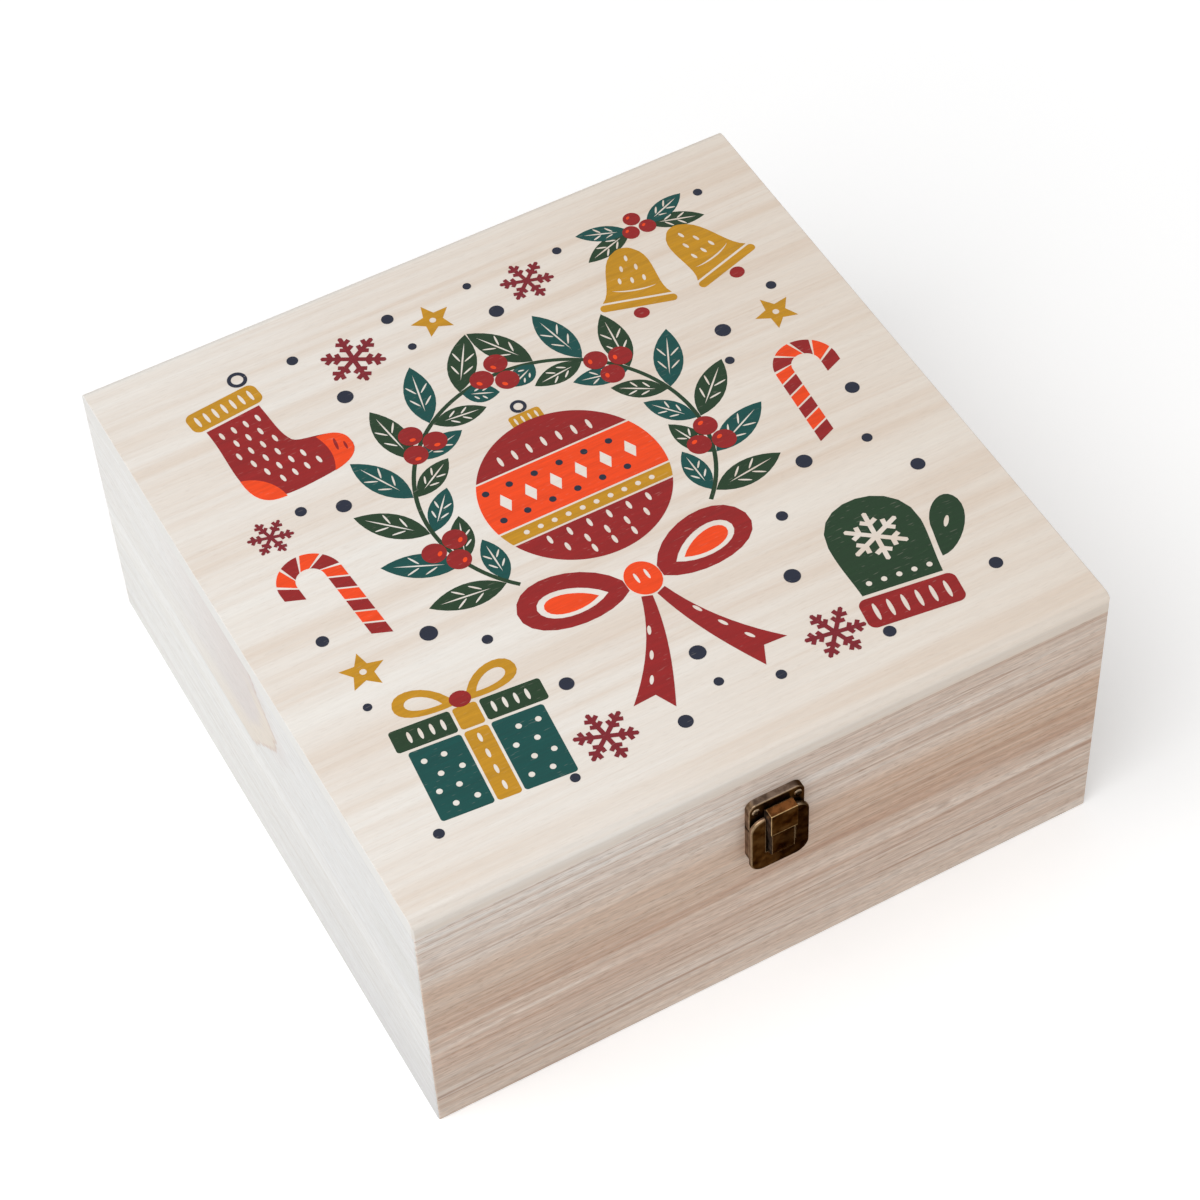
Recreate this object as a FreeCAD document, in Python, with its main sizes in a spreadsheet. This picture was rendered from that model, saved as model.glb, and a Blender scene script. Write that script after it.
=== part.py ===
import FreeCAD, Part
import math
import os
import re

import Sketcher

# A square keepsake box with a hinged lid and a small drop-flap clasp.
# Millimetres. +X is the box's right, -Y its front, +Z up.
# The origin is the middle of the underside.
SIZES = {
    # Box
    "box_width": 300,           # outside, left to right
    "box_depth": 300,           # outside, front to back
    "box_height": 136.5,        # outside, lid closed
    "lid_height": 36.5,         # from the seam to the top
    "seam_gap": 0.1,            # between the closed lid and the base
    "wall": 9,                  # side boards and lid rails
    "corner_ease": 0.8,         # small flat on the upright corners
    "edge_ease": 0.5,           # rounding of the base's lower edges and the lid panel's ends
    "top_thickness": 9,         # lid panel
    "top_round": 4,             # rounding of the lid panel's front and back upper edges
    "bottom_thickness": 5,      # bottom panel, flush with the boards' lower edges
    "rebate_width": 5,          # how far the rebate for it reaches into the boards
    "panel_clearance": 0.2,     # bottom panel to the rebate's sides
    # Round-head nails
    "nail_head": 1.8,           # head radius
    "nail_dome": 1.1,           # head height
    "nail_shank": 0.75,         # shank radius
    "nail_point": 1.5,          # length of the taper at the tip
    "nail_clearance": 0.05,     # hole to shank, all round
    "pilot_spare": 0.3,         # hole past the nail's tip
    # Clasp plates, one each side of the seam
    "plate_width": 24.4,
    "plate_depth": 3.2,         # from the wood to the plates' front face
    "plate_sheet": 0.9,         # metal thickness
    "plate_corner": 4,          # corner radius away from the seam
    "plate_rim": 0.6,           # rounding of the front rim
    "hasp_plate_rise": 14.8,    # upper plate's end above the seam
    "keeper_plate_drop": 21.4,  # lower plate's end below the seam
    "clasp_nail_length": 9,
    "clasp_nail_spread": 9.1,   # from the middle
    "hasp_nail_rise": 10.6,     # above the seam
    "keeper_nail_drop": 17.4,   # below the seam
    "catch_width": 7,
    "catch_height": 1.6,
    "catch_rise": 0.7,          # out from the lower plate's face
    "catch_drop": 8,            # below the seam
    # Clasp flap
    "flap_width": 25.8,
    "flap_sheet": 1.6,
    "flap_gap": 1.2,            # plates' face to the flap's back
    "flap_rise": 7.2,           # wing tops above the seam
    "flap_drop": 24.5,          # lower edge below the seam
    "flap_corner": 6,
    "flap_rim": 1,              # rounding of the front rim
    "tongue_drop": 15.5,        # raised tongue's lower end below the seam
    "tongue_rise": 4.5,         # its upper end, inside the cap
    "tongue_ramp": 1.6,         # slope at its lower end
    "tongue_sheet": 0.9,
    # Clasp cap and its hinge
    "cap_width": 11.8,
    "cap_sheet": 0.9,
    "cap_rise": 12,             # top above the seam
    "cap_drop": 0.2,            # lower edge below the seam
    "cap_rim": 0.35,            # rounding of the front edges
    "cap_fit": 0.05,            # tongue to the inside of the cap
    "notch_gap": 0.6,           # cap to the flap's notch
    "clasp_barrel": 2.9,        # radius of the cap's back round the clasp's pin
    "head_rise": 2.5,           # cap's top above the pin
    "clasp_pin": 0.7,           # pin radius
    "clasp_run": 0.3,           # between moving faces in the clasp
    "lug_width": 1.2,
    "lug_round": 1.5,           # lug radius round the pin
    "lug_drop": 4.4,            # lugs' lower edge below the pin
    "lug_root": 1.8,            # height of the lugs where they leave the plate
    "lug_gap": 0.15,            # lug to the sides of its slot
    "lug_spread": 3.9,          # middle of each lug from the middle of the clasp
    "pin_clearance": 0.05,      # pins to their bores, all round
    # Hinges
    "hinge_width": 32,
    "hinge_leaf": 15,           # leaf height from the pin
    "hinge_sheet": 1,
    "hinge_corner": 1.5,
    "hinge_barrel": 2.2,        # knuckle radius
    "hinge_pin": 1,             # pin radius
    "hinge_run": 0.3,           # knuckles to wood and to the other leaf
    "knuckle_gap": 0.2,         # between neighbouring knuckles
    "hinge_inset": 55,          # middle of each hinge from the box's end
    "hinge_nail_length": 7,
    "hinge_nail_spread": 10,    # from the middle of the hinge
    "hinge_nail_reach": 9,      # from the pin
}
SAME = 1e-6                     # two places this close are one
KNUCKLES = 5                    # in each hinge, the odd ones on the base
OVERCUT = "1"                   # how far open-ended cuts run past the piece
RIM_SHARE = "0.8"               # the most of a sheet or step that a rounding or ramp may take

# Places worked out from the sizes, as expressions
SEAM = "(box_height - lid_height)"
BASE_TOP = f"({SEAM} - seam_gap / 2)"
LID_LOW = f"({SEAM} + seam_gap / 2)"
PANEL_LOW = "(box_height - top_thickness)"
FRONT = "(-box_depth / 2)"
BACK = "(box_depth / 2)"
BOTTOM_WIDTH = "(box_width - 2 * (wall - rebate_width + panel_clearance))"
BOTTOM_DEPTH = "(box_depth - 2 * (wall - rebate_width + panel_clearance))"
NAIL_HOLE = "(nail_shank + nail_clearance)"
CLASP_NAIL_HOLE = "(clasp_nail_length - plate_depth + pilot_spare)"
HINGE_NAIL_HOLE = "(hinge_nail_length - hinge_sheet + pilot_spare)"
FLAP_BACK = "(plate_depth + flap_gap)"
FLAP_FRONT = f"({FLAP_BACK} + flap_sheet)"
CLASP_PIN_OUT = "(plate_depth + clasp_run + clasp_barrel)"
HEAD_RISE = "min(head_rise; clasp_barrel)"
CLASP_PIN_UP = f"(cap_rise - {HEAD_RISE})"
CLASP_BORE = "(clasp_pin + pin_clearance)"
CAP_INSIDE = f"({CLASP_PIN_OUT} + lug_round + clasp_run)"
CAP_FRONT = f"({CAP_INSIDE} + cap_sheet)"
CAP_BACK = "(plate_depth + clasp_run)"
CAP_TOP_BACK = f"({CLASP_PIN_OUT} - sqrt(clasp_barrel ^ 2 - {HEAD_RISE} ^ 2))"
CAP_HALF = "(cap_width / 2 - cap_sheet)"
TONGUE_FRONT = f"({CAP_INSIDE} - cap_fit)"
TONGUE_HALF = f"({CAP_HALF} - cap_fit)"
HINGE_SPREAD = "(box_width / 2 - hinge_inset)"
HINGE_PIN_OUT = "(hinge_barrel + hinge_run)"
KNUCKLE_PITCH = f"(hinge_width / {KNUCKLES})"
KNUCKLE_LENGTH = f"({KNUCKLE_PITCH} - knuckle_gap)"

# Turns that aim a piece's own axes: it is modelled with -Y outwards and +Z away from the seam
UPRIGHT = FreeCAD.Rotation()
BACK_UP = FreeCAD.Rotation(FreeCAD.Vector(0, 0, 1), 180)
BACK_DOWN = FreeCAD.Rotation(FreeCAD.Vector(1, 0, 0), 180)
FRONT_DOWN = FreeCAD.Rotation(FreeCAD.Vector(0, 1, 0), 180)
LEFT_UP = FreeCAD.Rotation(FreeCAD.Vector(0, 0, 1), -90)
RIGHT_UP = FreeCAD.Rotation(FreeCAD.Vector(0, 0, 1), 90)
PIN_ALONG_X = FreeCAD.Rotation(FreeCAD.Vector(0, 1, 0), 90)

doc = FreeCAD.newDocument("keepsake_box")
sheet = doc.addObject("Spreadsheet::Sheet", "Sizes")
for row, (alias, number) in enumerate(SIZES.items(), 1):
    sheet.set(f"A{row}", alias)
    sheet.set(f"B{row}", str(number))
    sheet.setAlias(f"B{row}", alias)
doc.recompute()

subparts = []


def cells(text):
    """Point the names of sizes in an expression at the sheet's cells."""
    return re.sub("[a-z_]+", lambda word: f"Sizes.{word[0]}" if word[0] in SIZES else word[0], text)


def value(text):
    """The number that an expression gives now."""
    return sheet.evalExpression(cells(text))


def bind(thing, **properties):
    """Tie properties to expressions; a double underscore in a property's name stands for a dot."""
    for name, text in properties.items():
        thing.setExpression(name.replace("__", "."), cells(text))


def keep(thing, label, turn, x, y, z):
    """Name a sub-part, place it and list it for writing."""
    thing.Label = label
    thing.Placement = FreeCAD.Placement(FreeCAD.Vector(), turn)
    bind(thing, Placement__Base__x=x, Placement__Base__y=y, Placement__Base__z=z)
    subparts.append(thing)


def new_body(label, turn=UPRIGHT, x="0", y="0", z="0"):
    body = doc.addObject("PartDesign::Body", label)
    keep(body, label, turn, x, y, z)
    return body


def origin_plane(body, role):
    return next(item for item in body.Origin.OriginFeatures if item.Role == role)


def new_sketch(body, name, role, lift="0", shift="0"):
    """A sketch on one of the body's planes, lifted along its normal and shifted along its first axis."""
    sketch = body.newObject("Sketcher::SketchObject", f"{body.Name}_{name}")
    sketch.AttachmentSupport = [(origin_plane(body, role), "")]
    sketch.MapMode = "FlatFace"
    bind(sketch, AttachmentOffset__Base__x=shift, AttachmentOffset__Base__z=lift)
    return sketch


def fix(sketch, kind, edge, point, text):
    """Hold a point of an edge at a distance from the sketch's origin."""
    number = sketch.addConstraint(Sketcher.Constraint(kind, -1, 1, edge, point, value(text)))
    sketch.setExpression(f"Constraints[{number}]", cells(text))


def arc_between(start, end, middle_x):
    """The counter-clockwise arc from start to end whose centre has the given x."""
    lean = (end.x - middle_x) ** 2 - (start.x - middle_x) ** 2
    centre = FreeCAD.Vector(middle_x, (lean + end.y ** 2 - start.y ** 2) / (2 * (end.y - start.y)))
    first = math.atan2(start.y - centre.y, start.x - centre.x)
    last = math.atan2(end.y - centre.y, end.x - centre.x)
    if last < first:
        last += 2 * math.pi
    circle = Part.Circle(centre, FreeCAD.Vector(0, 0, 1), start.distanceToPoint(centre))
    return Part.ArcOfCircle(circle, first, last)


def draw(sketch, corners):
    """A closed counter-clockwise outline. A corner's third text is the centre's x of an arc to the next."""
    spots = [FreeCAD.Vector(value(corner[0]), value(corner[1])) for corner in corners]
    first = sketch.GeometryCount
    for index, corner in enumerate(corners):
        end = spots[(index + 1) % len(spots)]
        if len(corner) == 3:
            sketch.addGeometry(arc_between(spots[index], end, value(corner[2])))
        else:
            sketch.addGeometry(Part.LineSegment(spots[index], end))
    for index, corner in enumerate(corners):
        following = first + (index + 1) % len(corners)
        sketch.addConstraint(Sketcher.Constraint("Coincident", first + index, 2, following, 1))
        fix(sketch, "DistanceX", first + index, 1, corner[0])
        fix(sketch, "DistanceY", first + index, 1, corner[1])
        if len(corner) == 3:
            fix(sketch, "DistanceX", first + index, 3, corner[2])


def draw_box(sketch, left, right, low, high):
    draw(sketch, [(left, low), (right, low), (right, high), (left, high)])


def draw_circle(sketch, x, y, radius):
    centre = FreeCAD.Vector(value(x), value(y))
    edge = sketch.addGeometry(Part.Circle(centre, FreeCAD.Vector(0, 0, 1), value(radius)))
    fix(sketch, "DistanceX", edge, 3, x)
    fix(sketch, "DistanceY", edge, 3, y)
    number = sketch.addConstraint(Sketcher.Constraint("Radius", edge, value(radius)))
    sketch.setExpression(f"Constraints[{number}]", cells(radius))


def pad(sketch, length, symmetric=False):
    body = sketch.getParentGeoFeatureGroup()
    feature = body.newObject("PartDesign::Pad", f"{sketch.Name}_pad")
    feature.Profile = sketch
    feature.SideType = "Symmetric" if symmetric else "One side"
    bind(feature, Length=length)
    doc.recompute()


def pocket(sketch, depth, along_normal=False, symmetric=False):
    """Cut a sketch's outline into its body, and make sure that the cut takes something away."""
    body = sketch.getParentGeoFeatureGroup()
    before = body.Shape.Volume
    feature = body.newObject("PartDesign::Pocket", f"{sketch.Name}_cut")
    feature.Profile = sketch
    feature.SideType = "Symmetric" if symmetric else "One side"
    feature.Reversed = along_normal
    bind(feature, Length=depth)
    doc.recompute()
    if not body.Shape.Volume < before:
        raise RuntimeError(f"{feature.Name} cuts nothing")


def dress_edges(body, kind, chosen, **sizes):
    """Round or chamfer the edges of a body for which chosen(edge) is true."""
    base = body.Tip
    edges = [f"Edge{number}" for number, edge in enumerate(base.Shape.Edges, 1) if chosen(edge.BoundBox)]
    feature = body.newObject(f"PartDesign::{kind}", f"{body.Name}_{kind}")
    feature.Base = (base, edges)
    bind(feature, **sizes)
    doc.recompute()


def lies_at(low, high, text):
    """Whether an edge's extent along one axis is the one value that an expression gives."""
    place = value(text)
    return abs(low - place) < SAME and abs(high - place) < SAME


def rounded_end(width, low, high, corner):
    """A plate's outline, square at its low end and with round corners at its high end."""
    half = f"({width} / 2)"
    return [
        (f"-{half}", low),
        (half, low),
        (half, f"{high} - {corner}", f"{half} - {corner}"),
        (f"{half} - {corner}", high),
        (f"-{half} + {corner}", high, f"-{half} + {corner}"),
        (f"-{half}", f"{high} - {corner}"),
    ]


def mitred_board(label, turn, length, across, low, high):
    """One side of the box, outer face at -across / 2, mitred at both ends."""
    body = new_body(label, turn)
    outer = f"(-{across} / 2)"
    end = f"({length} / 2)"
    outline = new_sketch(body, "outline", "XY_Plane", low)
    draw(outline, [
        (f"-{end} + corner_ease", outer),
        (f"{end} - corner_ease", outer),
        (f"{end} - corner_ease / 2", f"{outer} + corner_ease / 2"),
        (f"{end} - wall", f"{outer} + wall"),
        (f"-{end} + wall", f"{outer} + wall"),
        (f"-{end} + corner_ease / 2", f"{outer} + corner_ease / 2"),
    ])
    pad(outline, f"{high} - {low}")
    return body


def ease_lower_edge(body, across):
    """Round a base board's lower outer edge."""
    def chosen(box):
        return lies_at(box.ZMin, box.ZMax, "0") and lies_at(box.YMin, box.YMax, f"-{across} / 2")

    dress_edges(body, "Fillet", chosen, Radius="edge_ease")


def cut_rebate(body, length, across):
    """The step in a base board's lower inner edge that takes the bottom panel."""
    inner = f"(-{across} / 2 + wall)"
    step = new_sketch(body, "rebate", "XY_Plane")
    draw_box(step, f"-{length} / 2", f"{length} / 2", f"{inner} - rebate_width", f"{inner} + {OVERCUT}")
    pocket(step, "bottom_thickness", along_normal=True)


def drill(body, lift, depth, across, z):
    """Nail holes in a row at height z, from a face that lies lift outwards."""
    holes = new_sketch(body, "holes", "XZ_Plane", lift)
    for x in across:
        draw_circle(holes, x, z, NAIL_HOLE)
    pocket(holes, depth)


def drill_board(body, depth, across, z):
    """Nail holes in a front or back board, from its outer face."""
    drill(body, "box_depth / 2", depth, across, z)


def boards():
    """The base's four boards and the lid's four rails."""
    sides = (
        ("front", UPRIGHT, "box_width", "box_depth"),
        ("back", BACK_UP, "box_width", "box_depth"),
        ("left", LEFT_UP, "box_depth", "box_width"),
        ("right", RIGHT_UP, "box_depth", "box_width"),
    )
    made = {}
    for side, turn, length, across in sides:
        base = mitred_board(f"base_{side}_board", turn, length, across, "0", BASE_TOP)
        ease_lower_edge(base, across)
        cut_rebate(base, length, across)
        rail = mitred_board(f"lid_{side}_rail", turn, length, across, LID_LOW, PANEL_LOW)
        made[side] = (base, rail)

    clasp_nails = ("-clasp_nail_spread", "clasp_nail_spread")
    hinge_nails = [
        f"{hinge} * {HINGE_SPREAD} + {nail} * hinge_nail_spread" for hinge in (-1, 1) for nail in (-1, 1)
    ]
    drill_board(made["front"][0], CLASP_NAIL_HOLE, clasp_nails, f"{SEAM} - keeper_nail_drop")
    drill_board(made["front"][1], CLASP_NAIL_HOLE, clasp_nails, f"{SEAM} + hasp_nail_rise")
    drill_board(made["back"][0], HINGE_NAIL_HOLE, hinge_nails, f"{SEAM} - hinge_nail_reach")
    drill_board(made["back"][1], HINGE_NAIL_HOLE, hinge_nails, f"{SEAM} + hinge_nail_reach")


def bottom_panel():
    panel = doc.addObject("Part::Box", "bottom_panel")
    bind(panel, Length=BOTTOM_WIDTH, Width=BOTTOM_DEPTH, Height="bottom_thickness")
    keep(panel, "bottom_panel", UPRIGHT, f"-{BOTTOM_WIDTH} / 2", f"-{BOTTOM_DEPTH} / 2", "0")


def lid_top_panel():
    """The lid's panel: rounded along the front and back, crisp at its ends, eased at its upright corners."""
    body = new_body("lid_top_panel", z=PANEL_LOW)
    outline = new_sketch(body, "outline", "XY_Plane")
    draw_box(outline, "-box_width / 2", "box_width / 2", "-box_depth / 2", "box_depth / 2")
    pad(outline, "top_thickness")

    def along_x(box):
        return lies_at(box.ZMin, box.ZMax, "top_thickness") and box.YLength < SAME

    def round_end(box):
        at_end = any(lies_at(box.XMin, box.XMax, end) for end in ("-box_width / 2", "box_width / 2"))
        return at_end and box.ZMax > value("top_thickness - top_round") + SAME

    dress_edges(body, "Fillet", along_x, Radius="top_round")
    dress_edges(body, "Fillet", round_end, Radius="edge_ease")
    corners = new_sketch(body, "corners", "XY_Plane")
    for across in ("-1", "1"):
        for along in ("-1", "1"):
            x = f"{across} * box_width / 2"
            y = f"{along} * box_depth / 2"
            beside = f"{x} - {across} * corner_ease"
            before = f"{y} - {along} * corner_ease"
            draw(corners, [(x, y), (beside, y), (x, before)])
    pocket(corners, "top_thickness", along_normal=True)


def nail_pair(label, turn, x, y, z, seat, length, spread):
    """Two round-head nails, spread to each side, whose heads sit on a face that lies seat outwards."""
    body = new_body(label, turn, x, y, z)
    profile = new_sketch(body, "profile", "XY_Plane", shift=spread)
    draw(profile, [
        ("0", f"{length} - {seat}"),
        ("0", f"-{seat} - nail_dome", "0"),
        ("nail_head", f"-{seat}"),
        ("nail_shank", f"-{seat}"),
        ("nail_shank", f"{length} - {seat} - nail_point"),
    ])
    nail = body.newObject("PartDesign::Revolution", f"{label}_nail")
    nail.Profile = profile
    nail.ReferenceAxis = (profile, ["V_Axis"])
    nail.Angle = 360
    doc.recompute()
    pair = body.newObject("PartDesign::Mirrored", f"{label}_pair")
    pair.Originals = [nail]
    pair.MirrorPlane = (origin_plane(body, "YZ_Plane"), [""])
    body.Tip = pair
    doc.recompute()


def pan_plate(label, turn, end, nail_reach):
    """A pressed clasp plate: a shallow pan with its back and its seam end open, and two nail holes."""
    body = new_body(label, turn, y=FRONT, z=SEAM)
    outline = new_sketch(body, "outline", "XZ_Plane")
    draw(outline, rounded_end("plate_width", "seam_gap / 2", end, "plate_corner"))
    pad(outline, "plate_depth")

    def chosen(box):
        at_seam = lies_at(box.ZMin, box.ZMax, "seam_gap / 2")
        return lies_at(box.YMin, box.YMax, "-plate_depth") and not at_seam

    dress_edges(body, "Fillet", chosen, Radius=f"min(plate_rim; plate_sheet * {RIM_SHARE})")
    hollow = new_sketch(body, "hollow", "XZ_Plane")
    inside = "(plate_width - 2 * plate_sheet)"
    inside_corner = "(plate_corner - plate_sheet)"
    draw(hollow, rounded_end(inside, f"-{OVERCUT}", f"({end} - plate_sheet)", inside_corner))
    pocket(hollow, "plate_depth - plate_sheet", along_normal=True)
    drill(body, "plate_depth", "plate_depth", ("-clasp_nail_spread", "clasp_nail_spread"), nail_reach)
    return body


def keeper_plate():
    """The clasp's lower plate, with a low rib that the flap's tongue closes over."""
    body = pan_plate("keeper_plate", FRONT_DOWN, "keeper_plate_drop", "keeper_nail_drop")
    rib = new_sketch(body, "catch", "XZ_Plane", "plate_depth")
    draw_box(rib, "-catch_width / 2", "catch_width / 2", "catch_drop", "catch_drop + catch_height")
    pad(rib, "catch_rise")


def hasp_plate():
    """The clasp's upper plate, with two lugs that step out from it and up to the flap's pin."""
    body = pan_plate("hasp_plate", UPRIGHT, "hasp_plate_rise", "hasp_nail_rise")
    root = "-(plate_depth - plate_sheet / 2)"
    pin = f"-{CLASP_PIN_OUT}"
    low = f"({CLASP_PIN_UP} - lug_drop)"
    for side, across in (("left", "-lug_spread"), ("right", "lug_spread")):
        lug = new_sketch(body, f"{side}_lug", "YZ_Plane", across)
        draw(lug, [
            (root, low),
            (root, f"{low} + lug_root"),
            (f"{pin} + lug_round", f"{low} + lug_root"),
            (f"{pin} + lug_round", CLASP_PIN_UP, pin),
            (pin, f"{CLASP_PIN_UP} + lug_round", pin),
            (f"{pin} - lug_round", CLASP_PIN_UP),
            (f"{pin} - lug_round", low),
        ])
        pad(lug, "lug_width", symmetric=True)
    bore = new_sketch(body, "bore", "YZ_Plane")
    draw_circle(bore, pin, CLASP_PIN_UP, CLASP_BORE)
    pocket(bore, "plate_width", symmetric=True)


def hasp_flap():
    """The shield-shaped flap, notched for the cap, with its hollow raised tongue between two slits."""
    body = new_body("hasp_flap", y=FRONT, z=SEAM)
    half = "(flap_width / 2)"
    notch = "(cap_width / 2 + notch_gap)"
    notch_low = "(-cap_drop - notch_gap)"
    corner = f"min(flap_corner; {half} - {notch} - notch_gap / 2)"
    bend = f"({half} - {corner})"
    outline = new_sketch(body, "outline", "XZ_Plane", FLAP_BACK)
    draw(outline, [
        (f"-{bend}", "-flap_drop"),
        (bend, "-flap_drop", bend),
        (half, f"-flap_drop + {corner}"),
        (half, f"flap_rise - {corner}", bend),
        (bend, "flap_rise"),
        (notch, "flap_rise"),
        (notch, notch_low),
        (f"-{notch}", notch_low),
        (f"-{notch}", "flap_rise"),
        (f"-{bend}", "flap_rise", f"-{bend}"),
        (f"-{half}", f"flap_rise - {corner}"),
        (f"-{half}", f"-flap_drop + {corner}", f"-{bend}"),
    ])
    pad(outline, "flap_sheet")

    def on_rim(box):
        in_notch = lies_at(box.ZMin, box.ZMax, notch_low) or any(
            lies_at(box.XMin, box.XMax, side) for side in (notch, f"-{notch}"))
        return lies_at(box.YMin, box.YMax, f"-{FLAP_FRONT}") and not in_notch

    dress_edges(body, "Fillet", on_rim, Radius=f"min(flap_rim; flap_sheet * {RIM_SHARE})")
    tongue = new_sketch(body, "tongue", "XZ_Plane", FLAP_FRONT)
    draw_box(tongue, f"-{TONGUE_HALF}", TONGUE_HALF, "-tongue_drop", "tongue_rise")
    pad(tongue, f"{TONGUE_FRONT} - {FLAP_FRONT}")

    def on_tongue_end(box):
        at_end = lies_at(box.ZMin, box.ZMax, "-tongue_drop")
        return at_end and lies_at(box.YMin, box.YMax, f"-{TONGUE_FRONT}")

    ramp_room = f"({TONGUE_FRONT} - {FLAP_FRONT}) * {RIM_SHARE}"
    dress_edges(body, "Chamfer", on_tongue_end, Size=f"min(tongue_ramp; {ramp_room})")
    hollow = new_sketch(body, "hollow", "XZ_Plane", FLAP_BACK)
    inside = f"({TONGUE_HALF} - tongue_sheet)"
    hollow_low = "-tongue_drop + tongue_ramp + tongue_sheet"
    draw_box(hollow, f"-{inside}", inside, hollow_low, f"tongue_rise + {OVERCUT}")
    pocket(hollow, f"{TONGUE_FRONT} - tongue_sheet - {FLAP_BACK}", along_normal=True)
    slits = new_sketch(body, "slits", "XZ_Plane", FLAP_BACK)
    for left, right in ((f"-{notch}", f"-{TONGUE_HALF}"), (TONGUE_HALF, notch)):
        draw_box(slits, left, right, "-tongue_drop + tongue_ramp", f"{notch_low} + {OVERCUT}")
    pocket(slits, "flap_sheet", along_normal=True)


def hasp_cap():
    """The cap over the tongue: a channel below, then a head with the pin's bore and room for the lugs."""
    body = new_body("hasp_cap", y=FRONT, z=SEAM)
    pin = f"-{CLASP_PIN_OUT}"
    profile = new_sketch(body, "profile", "YZ_Plane")
    draw(profile, [
        (f"-{CAP_FRONT}", "-cap_drop"),
        (f"-{CAP_BACK}", "-cap_drop"),
        (f"-{CAP_BACK}", CLASP_PIN_UP, pin),
        (f"-{CAP_TOP_BACK}", "cap_rise"),
        (f"-{CAP_FRONT}", "cap_rise"),
    ])
    pad(profile, "cap_width", symmetric=True)

    def chosen(box):
        at_front = lies_at(box.YMin, box.YMax, f"-{CAP_FRONT}")
        at_low_end = lies_at(box.ZMin, box.ZMax, "-cap_drop")
        at_top_side = lies_at(box.ZMin, box.ZMax, "cap_rise") and box.XLength < SAME
        return at_top_side or at_front and not at_low_end

    dress_edges(body, "Fillet", chosen, Radius=f"min(cap_rim; cap_sheet * {RIM_SHARE})")
    head_low = f"({CLASP_PIN_UP} - clasp_barrel)"
    channel = new_sketch(body, "channel", "YZ_Plane")
    draw_box(channel, f"-{CAP_INSIDE}", f"-{CAP_BACK} + {OVERCUT}", f"-cap_drop - {OVERCUT}", head_low)
    pocket(channel, f"2 * {CAP_HALF}", symmetric=True)
    for side, across in (("left", "-lug_spread"), ("right", "lug_spread")):
        slot = new_sketch(body, f"{side}_slot", "YZ_Plane", across)
        behind = f"-{CAP_BACK} + {OVERCUT}"
        roof = f"{CLASP_PIN_UP} + lug_round + clasp_run"
        draw_box(slot, f"-{CAP_INSIDE}", behind, f"{head_low} - {OVERCUT}", roof)
        pocket(slot, "lug_width + 2 * lug_gap", symmetric=True)
    bore = new_sketch(body, "bore", "YZ_Plane")
    draw_circle(bore, pin, CLASP_PIN_UP, CLASP_BORE)
    pocket(bore, f"cap_width + {OVERCUT}", symmetric=True)


def straight_pin(label, radius, length, x, y, z):
    """A plain pin along X whose middle is at x."""
    pin = doc.addObject("Part::Cylinder", label)
    bind(pin, Radius=radius, Height=length)
    keep(pin, label, PIN_ALONG_X, f"{x} - {length} / 2", y, z)


def hinge_leaf(label, turn, x, knuckles):
    """A leaf on the back of the box, with its share of the hinge's knuckles."""
    body = new_body(label, turn, x, BACK, SEAM)
    outline = new_sketch(body, "outline", "XZ_Plane")
    draw(outline, rounded_end("hinge_width", HINGE_PIN_OUT, "hinge_leaf", "hinge_corner"))
    pad(outline, "hinge_sheet")
    for index in knuckles:
        middle = f"({KNUCKLE_PITCH} * ({index} + 0.5) - hinge_width / 2)"
        tab = new_sketch(body, f"tab_{index}", "XZ_Plane", shift=middle)
        draw_box(tab, f"-{KNUCKLE_LENGTH} / 2", f"{KNUCKLE_LENGTH} / 2", "0", HINGE_PIN_OUT)
        pad(tab, "hinge_sheet")
        knuckle = new_sketch(body, f"knuckle_{index}", "YZ_Plane", middle)
        draw_circle(knuckle, f"-{HINGE_PIN_OUT}", "0", "hinge_barrel")
        pad(knuckle, KNUCKLE_LENGTH, symmetric=True)
    bore = new_sketch(body, "bore", "YZ_Plane")
    draw_circle(bore, f"-{HINGE_PIN_OUT}", "0", "hinge_pin + pin_clearance")
    pocket(bore, f"hinge_width + {OVERCUT}", symmetric=True)
    nails = ("-hinge_nail_spread", "hinge_nail_spread")
    drill(body, "hinge_sheet", "hinge_sheet", nails, "hinge_nail_reach")


def hinges():
    """Two hinges: leaves, pin and nails."""
    halves = (("base", BACK_DOWN, "-", range(0, KNUCKLES, 2)), ("lid", BACK_UP, "+", range(1, KNUCKLES, 2)))
    for side, x in (("left", f"(-{HINGE_SPREAD})"), ("right", HINGE_SPREAD)):
        for half, turn, way, knuckles in halves:
            hinge_leaf(f"hinge_{side}_{half}_leaf", turn, x, knuckles)
            nail_pair(f"hinge_{side}_{half}_nails", turn, x, BACK, f"{SEAM} {way} hinge_nail_reach",
                      "hinge_sheet", "hinge_nail_length", "hinge_nail_spread")
        straight_pin(f"hinge_{side}_pin", "hinge_pin", "hinge_width", x, f"{BACK} + {HINGE_PIN_OUT}", SEAM)


def clasp():
    """The clasp on the front: two plates, the flap with its cap, the pin and the nails."""
    keeper_plate()
    hasp_plate()
    hasp_flap()
    hasp_cap()
    pin_y = f"{FRONT} - {CLASP_PIN_OUT}"
    pin_z = f"{SEAM} + {CLASP_PIN_UP}"
    straight_pin("hasp_pin", "clasp_pin", "cap_width", "0", pin_y, pin_z)
    for label, turn, z in (("keeper_nails", FRONT_DOWN, f"{SEAM} - keeper_nail_drop"),
                           ("hasp_nails", UPRIGHT, f"{SEAM} + hasp_nail_rise")):
        nail_pair(label, turn, "0", FRONT, z, "plate_depth", "clasp_nail_length", "clasp_nail_spread")


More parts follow.
